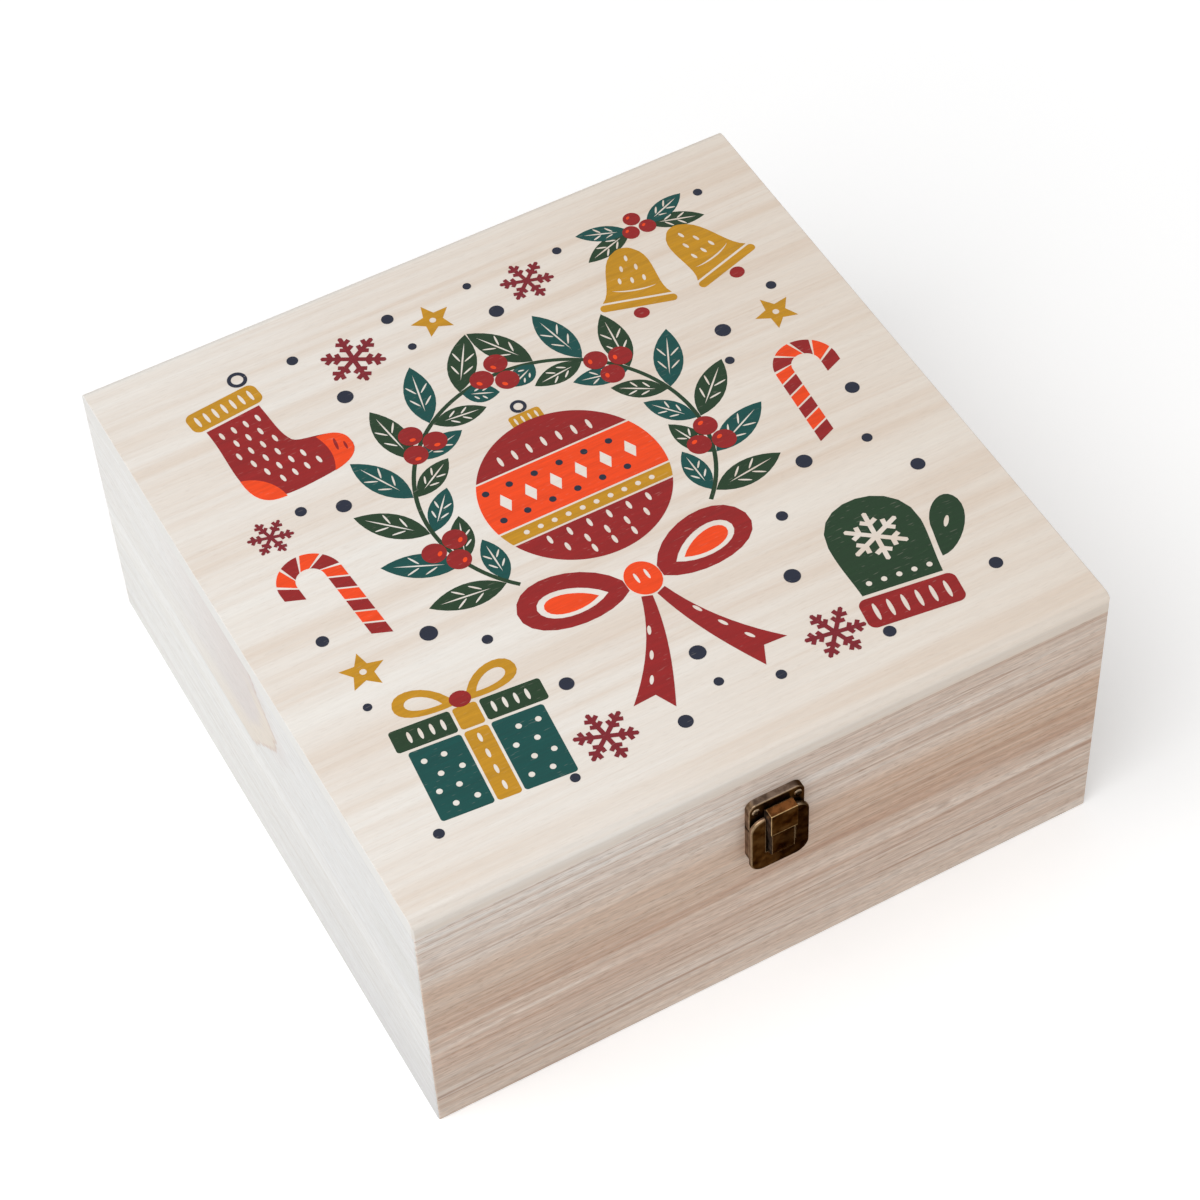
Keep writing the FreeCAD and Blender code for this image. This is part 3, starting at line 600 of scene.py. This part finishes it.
def bronze(look):
    """Brown patina, brass with wear and painted highlights on edges and rounds, painted paler on sides and
    tops.
    """
    shader = Shader(look.material)
    place = shader.place()
    x, _, z = shader.parts(place)
    cloud = shader.noise(place, *METAL_CLOUD)
    speck = shader.noise(place, *METAL_SPECK)
    scratch = shader.noise(place, *METAL_SCRATCH)
    colour = shader.ramp(cloud, *look.patina)
    # Painted shade: the flap darker towards its right.
    if look.darkens:
        colour = shader.shaded(colour, shader.span(x, *FLAP_PAINTED_SHADE_ALONG), FLAP_PAINTED_SHADES)
    facing = shader.parts(shader.place("Normal"))
    level = [shader.size_of(part) for part in facing]
    # Painted light: sides paler, and upward faces paler except where they face right.
    leftward = shader.span(facing[0], *LEFTWARD)
    side = shader.area((level[0], SIDE_FACING), (cloud, (*SIDE_CLOUD, SIDE_LEAST * look.rub, look.rub)))
    colour = shader.mix(side, colour, SIDE_PAINTED_LIGHT)
    top = shader.area((facing[2], UP_FACING), (cloud, (*UP_CLOUD, UP_LEAST * look.rub, look.rub)))
    colour = shader.mix(shader.times(top, leftward), colour, look.top)
    # Wear with painted highlights along edges and rounds, less where they face right.
    edge_wear_and_highlight = shader.span(speck, *WEAR_AND_HIGHLIGHT_AT, WEAR_AND_HIGHLIGHT_LEAST * look.wear, look.wear)
    edge_wear_and_highlight = shader.times(metal_edges(shader, level), edge_wear_and_highlight, leftward)
    colour = shader.mix(edge_wear_and_highlight, colour, look.brass)
    # Painted highlight: a brass ring round the nail heads' rims.
    if look.rim:
        colour = shader.mix(shader.span(level[1], *NAIL_RIM_FACING, 0.0, look.rim), colour, look.brass)
    # Grime and painted shade: a dark line where the two plates meet.
    if look.meeting_line:
        from_seam = shader.size_of(shader.minus(z, SEAM_HEIGHT))
        line = shader.span(from_seam, *MEETING_FAR, look.meeting_line, 0.0)
        colour = shader.mix(line, colour, MEETING_SHADE_AND_GRIME)
    roughness = shader.span(cloud, *DULL_AT, look.roughness, look.roughness + DULLER)
    roughness = shader.plus(roughness, shader.times(scratch, SCRATCH_DULL))
    height = shader.plus(speck, shader.times(scratch, SCRATCH_DEPTH))
    metal = {"Metallic": 1.0, "Specular Tint": LOW_ANGLE_TINT}
    return shader.finish(colour, roughness, height, METAL_BUMP, metal)


# Each node's look: a board's by its side, a metal piece's by the last word of its name.
DRESSES = {"front": dress_front, "left": dress_left, "top": dress_top}
LOOKS = {name: board_wood(name, DRESSES.get(name)) for name in WOODS}
LOOKS.update({name: bronze(look) for name, look in BRONZES.items()})
BOARDS = {"lid_top_panel": "top", "bottom_panel": "bottom"}
for side in ("front", "left", "back", "right"):
    BOARDS[f"base_{side}_board"] = side
    BOARDS[f"lid_{side}_rail"] = side

for name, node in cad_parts.items():
    kind = BOARDS.get(name, name.split("_")[-1])
    for held in node.material_slots:
        held.material = LOOKS.get(kind, LOOKS["bronze"])

# The print: outlines in mm from the lid's middle, each motif a list of (ink, [outline, holes]).
# First how finely its curves are stepped, then what several of its shapes share.
CURVE_STEPS = 10
SLICE_STEPS = 30
RING_STEPS = 90
SMALL_OVAL = 4
SMALL_OVAL_POINTS = 20
OVAL_POINTS = 48
CORNER_PULL = 0.45
VEIN_HALF = 0.5
FLAKE_ARMS = 6
ARM_TURN = 360 / FLAKE_ARMS
FLAKE_TIP = 0.6


def outline(start, *moves):
    """A closed line: each move is a point, or two control points and a point."""
    line = [Vector(start)]
    for move in moves:
        if isinstance(move[0], tuple):
            here = line[-1]
            first, second, end = (Vector(point) for point in move)
            for step in range(1, CURVE_STEPS + 1):
                t = step / CURVE_STEPS
                s = 1 - t
                line.append(s**3 * here + 3 * s * s * t * first + 3 * s * t * t * second + t**3 * end)
        else:
            line.append(Vector(move))
    return line


def moved(line, x, y, turn=0.0, size=1.0, mirror=1):
    """A line mirrored, turned by degrees, scaled and then moved."""
    spin = Matrix.Rotation(math.radians(turn), 2)
    return [spin @ Vector((p.x * mirror, p.y)) * size + Vector((x, y)) for p in line]


def placed(marks, *place, **turned):
    """A motif with all its lines moved."""
    return [(name, [moved(line, *place, **turned) for line in lines]) for name, lines in marks]


def around(radius, degrees):
    """A point on a circle."""
    angle = math.radians(degrees)
    return Vector((radius * math.cos(angle), radius * math.sin(angle)))


def oval(x, y, across, up, turn=0.0):
    count = SMALL_OVAL_POINTS if max(across, up) < SMALL_OVAL else OVAL_POINTS
    angles = [2 * math.pi * step / count for step in range(count)]
    line = [Vector((across * math.cos(a), up * math.sin(a))) for a in angles]
    return moved(line, x, y, turn)


def row(count, spread, y, across, up):
    """Ovals in a row, spread from -spread to spread."""
    steps = [2 * step / (count - 1) - 1 for step in range(count)]
    return [oval(spread * step, y, across, up) for step in steps]


def spots(across, up, *rows):
    """Ovals in rows, each row its height and its places along x."""
    return [oval(x, y, across, up) for y, places in rows for x in places]


def bar(left, low, right, high, round_by=1.2):
    """A rectangle with rounded corners."""
    r = round_by
    k = round_by * CORNER_PULL
    return outline((left + r, low),
                   (right - r, low), ((right - k, low), (right, low + k), (right, low + r)),
                   (right, high - r), ((right, high - k), (right - k, high), (right - r, high)),
                   (left + r, high), ((left + k, high), (left, high - k), (left, high - r)),
                   (left, low + r), ((left, low + k), (left + k, low), (left + r, low)))


def slice_of_disc(radius, low, high):
    """The part of a disc between two heights."""
    first, last = math.asin(low / radius), math.asin(high / radius)
    angles = [first + (last - first) * step / SLICE_STEPS for step in range(SLICE_STEPS + 1)]
    right = [Vector((radius * math.cos(a), radius * math.sin(a))) for a in angles]
    return right + [Vector((-p.x, p.y)) for p in reversed(right)]


def ring_part(inner, outer, first, last):
    """A band of a ring between two angles in degrees."""
    degrees = [first + (last - first) * step / RING_STEPS for step in range(RING_STEPS + 1)]
    return [around(outer, d) for d in degrees] + [around(inner, d) for d in reversed(degrees)]


def leaf(length, width):
    """A leaf along x with a bare middle vein and bare side veins, in shares of its length and width."""
    half = width * 0.68
    edge = outline((0, 0), ((0.3 * length, half), (0.7 * length, 0.85 * half), (length, 0)),
                   ((0.7 * length, -0.85 * half), (0.3 * length, -half), (0, 0)))
    low, high = 0.2 * length, 0.86 * length
    third = (high - low) / 3
    vein = outline((low, 0), ((low + third, VEIN_HALF), (high - third, VEIN_HALF), (high, 0)),
                   ((high - third, -VEIN_HALF), (low + third, -VEIN_HALF), (low, 0)))
    sides = [oval(at * length, side * 0.21 * width, 0.09 * length, 0.42, side * 38)
             for at in (0.38, 0.60) for side in (1, -1)]
    return [edge, vein, *sides]


def star(reach, inner, points):
    radii = [reach if step % 2 == 0 else inner for step in range(2 * points)]
    angles = [math.pi / 2 + math.pi * step / points for step in range(2 * points)]
    return [Vector((r * math.cos(a), r * math.sin(a))) for r, a in zip(radii, angles)]


def snowflake(reach, half, *branches):
    """Six plain arms with paired branches, as one line; a branch is its distance out and its length."""
    side = []
    away = around(1, ARM_TURN)
    beside = Vector((away.y, -away.x)) * half
    for out, length in branches:
        base = Vector((out, 0))
        near, far = base - beside, base + beside
        side += [near + away * (half - near.y) / away.y, near + away * length,
                 far + away * length, far + away * (half - far.y) / away.y]
    side.append(Vector((reach, half)))
    tip = Vector((reach + FLAKE_TIP * half, 0))
    fork = Vector((half / math.tan(math.radians(ARM_TURN / 2)), half))
    arm = [Vector((p.x, -p.y)) for p in side] + [tip] + side[::-1] + [fork]
    turns = [ARM_TURN * (step + 0.5) for step in range(FLAKE_ARMS)]
    return [p for turn in turns for p in moved(arm, 0, 0, turn)]


def bauble():
    """A ball in four bands, each with its own bare marks, and a cap with a hook."""
    radius = 39
    ribs = [oval(x, 26 - abs(x) * 0.05, 0.9, 2.8) for x in (-20, -13.4, -6.7, 0, 6.7, 13.4, 20)]
    drops = [moved(star(5.0, 2.6, 2), x, 5) for x in (-28, -16.8, -5.6, 5.6, 16.8, 28)]
    pips = spots(1.2, 1.2, (-12.5, (-28, -21.8, -15.6, -9.4, -3.1, 3.1, 9.4, 15.6, 21.8, 28)))
    seeds = spots(0.9, 2.3, (-20.5, (-22, -13.2, -4.4, 4.4, 13.2, 22)),
                  (-27, (-17.6, -8.8, 0, 8.8, 17.6)), (-33, (-8.8, 0, 8.8)))
    bands = (("crimson", 19.2, radius, ribs), ("orange", -8.2, 18.2, drops),
             ("mustard", -15.8, -9.2, pips), ("crimson", -radius, -16.8, seeds))
    marks = [(name, [slice_of_disc(radius, low, high), *bare]) for name, low, high, bare in bands]
    between = (-33, -22.4, -11.2, 0, 11.2, 22.4)
    marks += [("navy", [dot]) for dot in spots(1.5, 1.5, (-2.8, between), (12.8, between))]
    cap = [bar(-7, 37.4, 7, 44, 1.5), *row(4, 4.6, 40.7, 0.55, 2.0)]
    hook = moved(ring_part(2.0, 3.4, -88, 268), 0, 47.6)
    return marks + [("mustard", cap), ("navy", [hook])]


def bow():
    """A knot, and a loop and a tail on each side of it."""
    knot = [oval(0, -1.5, 6.4, 7.4), *spots(0.6, 2.4, (-0.5, (-2, 2)))]
    loop = outline((-6.6, 1), ((-14, 16), (-40, 21), (-44, 6)), ((-47, -9), (-18, -13), (-6.6, -4)))
    inset = outline((-13, -1), ((-20, 9), (-36, 12), (-37.5, 4)), ((-38, -4), (-22, -7), (-13, -1)))
    fold = outline((-16.5, -0.6), ((-22, 6), (-34, 9), (-35, 3.5)),
                   ((-35.5, -2), (-24, -4.5), (-16.5, -0.6)))
    tail = outline((-4.5, -8.2), ((-9, -22), (-17, -35), (-29, -47)), (-20.5, -46.5), (-17, -54),
                   ((-10, -40), (-4, -26), (-0.9, -9.6)))
    seeds = [oval(x, y, 0.7, 2.0, turn)
             for x, y, turn in ((-9.2, -22, -24), (-13.6, -31.5, -28), (-18.6, -40.5, -32))]
    half = [("crimson", [loop, inset]), ("orange", [fold]), ("crimson", [tail, *seeds])]
    return [("orange", knot), *placed(half, 0, 0), *placed(half, 0, 0, mirror=-1)]


def berries(size=5.0, spread=6.0):
    """Three berries, each with a glint."""
    marks = []
    for angle in (90, 210, 330):
        x, y = around(spread, angle)
        glint = oval(x - 0.3 * size, y + 0.35 * size, 0.26 * size, 0.17 * size, 35)
        marks += [("crimson", [oval(x, y, size, size)]), ("orange", [glint])]
    return marks


def wreath():
    """An open ring of pairs of leaves, long outside and short inside, with bunches of berries."""
    radius, stem_half = 60, 0.9
    pairs, first_angle, pitch = 7, -41, 19
    marks = [("dark_green", [ring_part(radius - stem_half, radius + stem_half, -45, 225)])]
    for step in range(pairs):
        angle = first_angle + pitch * step
        inner_length = 15 if step == pairs - 1 else 23
        for length, width, lean, first in ((32, 13, -42, 0), (inner_length, 10.5, 42, 1)):
            turn = angle + 90 + lean
            base = around(radius, angle) + around(1.4, turn)
            name = ("dark_green", "teal")[(step + first) % 2]
            right = placed([(name, leaf(length, width))], base.x, base.y, turn)
            marks += right + placed(right, 0, 0, mirror=-1)
    for angle in (-13, 44, 90, 136, 193):
        marks += placed(berries(), *around(radius, angle), angle)
    return marks


def stocking():
    leg = outline((-11, 13), (11, 13), ((11, 3), (10, -3), (12, -8)), ((14, -12), (28, -11), (29, -20)),
                  ((30, -29), (20, -30), (12, -30)), ((0, -30), (-12, -30), (-13, -19)),
                  ((-14, -9), (-11, 0), (-11, 13)))
    toe = outline((19.5, -12.3), ((25.5, -13), (29, -16), (29, -20)), ((29.6, -28), (22, -29.7), (17, -30)),
                  ((21, -24), (21, -18), (19.5, -12.3)))
    heel = outline((-13.3, -14.5), ((-8, -16), (-3, -22), (-3, -29.9)),
                   ((-9, -29.3), (-14.2, -27), (-13.3, -14.5)))
    fours, threes = (-7.5, -2.5, 2.5, 7.5), (-5, 0, 5)
    seeds = spots(0.75, 1.9, (8, fours), (2, threes), (-4, fours), (-10, threes),
                  (-16, (-3, 2, 7, 12)), (-22, (0, 5, 10, 15)))
    toe_lines = [oval(23.6, -19.5, 0.6, 3.0, -14), oval(26.2, -22, 0.5, 2.0, -10)]
    cuff = [bar(-14.5, 14.2, 14.5, 24, 3), *row(7, 11, 19.1, 0.7, 2.8)]
    loop = moved(ring_part(2.3, 3.7, 0, 356), 11, 28.4)
    return [("crimson", [leg, *seeds]), ("orange", [toe, *toe_lines]), ("orange", [heel]),
            ("mustard", cuff), ("navy", [loop])]


def bell():
    body = outline((-14, -15), ((-8.5, -9), (-12, 7), (-4, 12)), ((-2, 14), (2, 14), (4, 12)),
                   ((12, 7), (8.5, -9), (14, -15)))
    bend = outline((-9.6, -9), ((-5, -10.6), (5, -10.6), (9.6, -9)), ((5, -11.8), (-5, -11.8), (-9.6, -9)))
    seeds = [oval(x, y, 0.7, 1.7) for x, y in ((-5, -4.5), (0, -5), (5, -4.5), (-3, 2), (3, 2), (0, 7.5))]
    return [("mustard", [body, bend, *seeds]), ("mustard", [bar(-15.6, -19.8, 15.6, -16.1, 1.8)]),
            ("crimson", [oval(0, -23.4, 3.2, 2.9)])]


def bells():
    """Two bells that lean apart under four leaves and three berries."""
    marks = []
    for mirror in (1, -1):
        marks += placed(bell(), -15 * mirror, -2, -17 * mirror, mirror=mirror)
        for name, turn, length in (("dark_green", 198, 24), ("teal", 158, 22)):
            side = turn if mirror == 1 else 180 - turn
            marks += placed([(name, leaf(length, 9))], -4 * mirror, 18, side)
    return marks + placed(berries(3.6, 4.4), 0, 19)


def gift():
    """A box with a lid and a ribbon; its right half is mirrored."""
    dots = spots(1.1, 1.1, (-19, (9.5, 17)), (-12.5, (13.2, 20.2)), (-6, (9.5, 17)), (0.8, (13.2, 20.2)))
    dashes = spots(0.7, 2.4, (11.8, (9, 13, 17, 21)))
    loop = outline((1.5, 18), ((6, 31), (21, 33), (22, 25)), ((23, 17.5), (9, 16.9), (1.5, 18)))
    inset = outline((6, 20), ((9, 26.5), (17, 28.5), (18, 24.5)), ((18.5, 20.5), (10, 19.6), (6, 20)))
    half = [("teal", [bar(5.3, -24, 24, 6), *dots]), ("dark_green", [bar(5.3, 7.1, 27, 16.5), *dashes]),
            ("mustard", [loop, inset])]
    ribbon = [bar(-4.3, -24, 4.3, 6), *(oval(0, y, 0.7, 2.0) for y in (-19, -12, -5, 2))]
    return [*placed(half, 0, 0), *placed(half, 0, 0, mirror=-1), ("mustard", ribbon),
            ("mustard", [bar(-4.3, 7.1, 4.3, 16.5)]), ("crimson", [oval(0, 19.4, 3.8, 3.4)])]


def mitten():
    palm = outline((-13, -14), (12, -14), ((12.5, -6), (14, 0), (14, 6)), ((14, 25), (-15, 25), (-15, 6)),
                   ((-15, -2), (-13.5, -8), (-13, -14)))
    thumb = outline((14.2, -9), ((20, -9), (29, 2), (27, 9)), ((25, 15.5), (17.4, 11), (15.6, 3)),
                    ((15.2, -1), (14.4, -5), (14.2, -9)))
    crystal = moved(snowflake(9.0, 0.75, (4.8, 2.8)), -0.5, 5)
    cuff = [bar(-15.5, -26, 14.5, -15.3, 2.5)]
    cuff += spots(0.7, 3.2, (-20.6, (-11.5, -7.1, -2.7, 1.7, 6.1, 10.5)))
    return [("dark_green", [palm, crystal, *row(5, 9.4, -10.4, 0.9, 0.9)]),
            ("dark_green", [thumb, oval(20.5, 2.5, 0.7, 2.2, -32)]), ("crimson", cuff)]


def cane():
    """A hooked cane as slanted stripes along its middle line."""
    straight, bend, half, slant, foot = 36.0, 9.0, 3.4, 3.4, -26
    stripes, pitch, width, steps = 11, 6.2, 5.3, 8

    def at(run, beside):
        """A point by its distance along the middle line and beside it."""
        if run < straight:
            return Vector((beside, foot + run))
        angle = (run - straight) / bend
        shoulder = foot + straight
        if angle < math.pi:
            out = bend - beside
            return Vector((bend - out * math.cos(angle), shoulder + out * math.sin(angle)))
        return Vector((2 * bend - beside, shoulder - (run - straight - bend * math.pi)))

    marks = []
    for stripe in range(stripes):
        runs = [stripe * pitch + width * step / steps for step in range(steps + 1)]
        lefts = [at(run, -half) for run in runs]
        rights = [at(run + slant, half) for run in runs]
        marks.append((("crimson", "orange")[stripe % 2], [lefts + rights[::-1]]))
    return marks


def flake(reach):
    branches = ((0.44 * reach, 0.24 * reach), (0.70 * reach, 0.26 * reach))
    return [("maroon", [snowflake(reach, 0.075 * reach, *branches)])]


def gold_star():
    return [("mustard", [star(8.5, 3.9, 5), oval(0, 0, 1.3, 1.3)])]


# Each motif's place on the lid: x, y, turn in degrees, size, and -1 for its mirror image.
LAYOUT = (
    (wreath(), 0, 12, 0, 1.0, 1),
    (bauble(), 0, 4, 0, 1.0, 1),
    (bow(), 0, -50, 0, 1.15, 1),
    (stocking(), -101, 90, 6, 1.12, 1),
    (bells(), 91, 97, 0, 1.04, 1),
    (gift(), -90, -90, -5, 1.14, 1),
    (mitten(), 88, -86, -8, 1.35, 1),
    (cane(), -101, 2, 4, 1.1, -1),
    (cane(), 101, 2, -4, 1.1, 1),
    (flake(13), -46, 109, 0, 1.0, 1),
    (flake(11), 36, 112, 12, 1.0, 1),
    (flake(12), -49, -111, 8, 1.0, 1),
    (flake(12), 50, -112, 20, 1.0, 1),
    (flake(9), -116, 40, 15, 1.0, 1),
    (gold_star(), -8, 112, 6, 1.1, 1),
    (gold_star(), -114, -38, -10, 1.1, 1),
    (gold_star(), 116, 44, 14, 1.1, 1),
)
# Loose dots between the motifs: x, y and radius.
DOTS = ((-68, 121, 2.4), (-24, 122, 2.6), (-22, 103, 1.8), (13, 122, 1.8), (17, 103, 3.2), (55, 121, 2.0),
        (-58, 92, 3.4), (-100, 46, 2.4), (-121, -17, 2.6), (-84, 40, 3.2), (92, 46, 3.4), (122, 58, 2.2),
        (86, 30, 2.0), (-84, -34, 3.6), (-66, -48, 2.2), (-120, -54, 1.8), (121, -8, 3.0),
        (84, -32, 3.4), (112, -34, 2.2), (62, -52, 2.4), (122, -56, 3.0), (-50, -82, 3.0), (-20, -120, 3.0),
        (-68, -122, 2.0), (0, -94, 3.4), (0, -110, 2.0), (22, -119, 2.2), (50, -80, 3.4), (68, -122, 2.6),
        (121, -114, 2.8), (-123, -119, 2.2), (123, 121, 2.0))
# The inks, each a layer a little higher than the one before it; rise and sink in metres.
INKS = {
    "dark_green": paint(30, 56, 33),
    "teal": paint(13, 72, 68),
    "mustard": paint(194, 140, 32),
    "crimson": paint(146, 33, 33),
    "orange": paint(240, 74, 27),
    "navy": paint(33, 38, 54),
    "maroon": paint(124, 32, 41),
}
INK_SINK = 0.00002
INK_RISE = 0.00003
SAME_POINT = 1e-4


def without_repeats(line):
    return [p for p, before in zip(line, line[-1:] + line[:-1]) if (p - before).length > SAME_POINT]


def printed(name, shapes, rise):
    """One thin closed mesh of all an ink's shapes, let into the lid and standing proud by rise."""
    mesh = bmesh.new()
    for lines in shapes:
        lines = [without_repeats(line) for line in lines]
        low, high = [], []
        for line in lines:
            lows = [mesh.verts.new((p.x * MM, p.y * MM, PANEL_TOP - INK_SINK)) for p in line]
            highs = [mesh.verts.new((p.x * MM, p.y * MM, PANEL_TOP + rise)) for p in line]
            for step in range(len(line)):
                mesh.faces.new((lows[step - 1], lows[step], highs[step], highs[step - 1]))
            low += lows
            high += highs
        for corners in tessellate_polygon([[(p.x, p.y, 0) for p in line] for line in lines]):
            mesh.faces.new([high[corner] for corner in corners])
            mesh.faces.new([low[corner] for corner in reversed(corners)])
    bmesh.ops.recalc_face_normals(mesh, faces=mesh.faces[:])
    data = bpy.data.meshes.new(name)
    mesh.to_mesh(data)
    mesh.free()
    piece = bpy.data.objects.new(name, data)
    bpy.context.scene.collection.objects.link(piece)
    return piece


shapes_of = {name: [] for name in INKS}
for motif, *place in LAYOUT:
    for name, lines in placed(motif, *place):
        shapes_of[name].append(lines)
shapes_of["navy"] += [[oval(x, y, radius, radius)] for x, y, radius in DOTS]
for layer, (name, colour) in enumerate(INKS.items(), 1):
    piece = printed("print_" + name, shapes_of[name], INK_RISE * layer)
    piece.data.materials.append(ink(name, colour))
    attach(piece, "lid")


def seen(shader):
    """1 where the camera, a reflection or glass looks straight at the surface, and 0 for its light."""
    path = shader.tree.nodes.new("ShaderNodeLightPath")
    return shader.largest(*(path.outputs[f"Is {kind} Ray"] for kind in ("Camera", "Glossy", "Transmission")))


def make_floor():
    """A pale floor that takes the shadow and glows to white away from the box."""
    shader = Shader("floor")
    place = shader.place()
    speck = shader.noise(place, FLOOR_CELL, FLOOR_DETAIL, FLOOR_SEED)
    shades = (grey(FLOOR_PALE - FLOOR_SPECK), grey(FLOOR_PALE + FLOOR_SPECK))
    pale = shader.ramp(speck, *zip(FLOOR_SPECK_AT, shades))
    x, y, _ = shader.parts(place)
    far = shader.math("SQRT", shader.plus(shader.times(x, x), shader.times(y, y)))
    glow = shader.times(seen(shader), shader.span(far, *FLOOR_FADE, FLOOR_GLOW, 1.0))
    shader.feed(shader.surface, {"Base Color": pale, "Emission Strength": glow, "Emission Color": grey(1.0),
                                 "Roughness": FLOOR_ROUGHNESS, "Specular IOR Level": 0.0})
    signs = ((-1, -1), (1, -1), (1, 1), (-1, 1))
    corners = [(right * FLOOR_HALF, back * FLOOR_HALF, -FLOOR_DROP) for right, back in signs]
    data = bpy.data.meshes.new("floor")
    data.from_pydata(corners, [], [(0, 1, 2, 3)])
    data.materials.append(shader.material)
    floor = bpy.data.objects.new("floor", data)
    bpy.context.scene.collection.objects.link(floor)
    floor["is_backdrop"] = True


class World(Shader):
    """The room's nodes, built by the same calls as a material's."""

    def __init__(self, name):
        self.world = bpy.data.worlds.new(name)
        self.world.use_nodes = True
        self.tree = self.world.node_tree
        self.surface = self.tree.nodes["Background"]


def make_lamp(name, towards, distance, size, watts):
    """A round lamp in a direction from the origin, turned to face it."""
    data = bpy.data.lights.new(name, "AREA")
    data.shape = "DISK"
    data.size = size
    data.energy = watts
    lamp = bpy.data.objects.new(name, data)
    away = Vector(towards).normalized()
    lamp.location = away * distance
    lamp.rotation_euler = away.to_track_quat("Z", "Y").to_euler()
    bpy.context.scene.collection.objects.link(lamp)


def make_light():
    room = World("room")
    level = room.times(seen(room), BACKGROUND_LEVEL - ROOM_LEVEL)
    room.feed(room.surface, {"Color": grey(1.0), "Strength": room.plus(level, ROOM_LEVEL)})
    bpy.context.scene.world = room.world
    make_lamp("soft_lamp", LAMP_TOWARDS, LAMP_DISTANCE, LAMP_SIZE, LAMP_WATTS)
    make_lamp("glint_lamp", GLINT_TOWARDS, GLINT_DISTANCE, GLINT_SIZE, GLINT_WATTS)


def make_camera():
    azimuth, elevation, roll = (math.radians(angle) for angle in (AZIMUTH, ELEVATION, ROLL))
    back = Vector((math.sin(azimuth) * math.cos(elevation), -math.cos(azimuth) * math.cos(elevation),
                   math.sin(elevation)))
    level = Vector((math.cos(azimuth), math.sin(azimuth), 0))
    upright = back.cross(level)
    right = level * math.cos(roll) + upright * math.sin(roll)
    up = upright * math.cos(roll) - level * math.sin(roll)
    data = bpy.data.cameras.new("camera")
    data.lens = LENS
    camera = bpy.data.objects.new("camera", data)
    turned = Matrix((right, up, back)).transposed().to_4x4()
    camera.matrix_world = Matrix.Translation(back * DISTANCE + right * AIM_RIGHT + up * AIM_UP) @ turned
    bpy.context.scene.collection.objects.link(camera)
    bpy.context.scene.camera = camera


make_floor()
make_light()
make_camera()
bpy.context.scene.view_settings.view_transform = "Standard"

boxes = {"cad": CAD_BOX, "visual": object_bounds()}
{name: [list(corner) for corner in box] for name, box in boxes.items()}
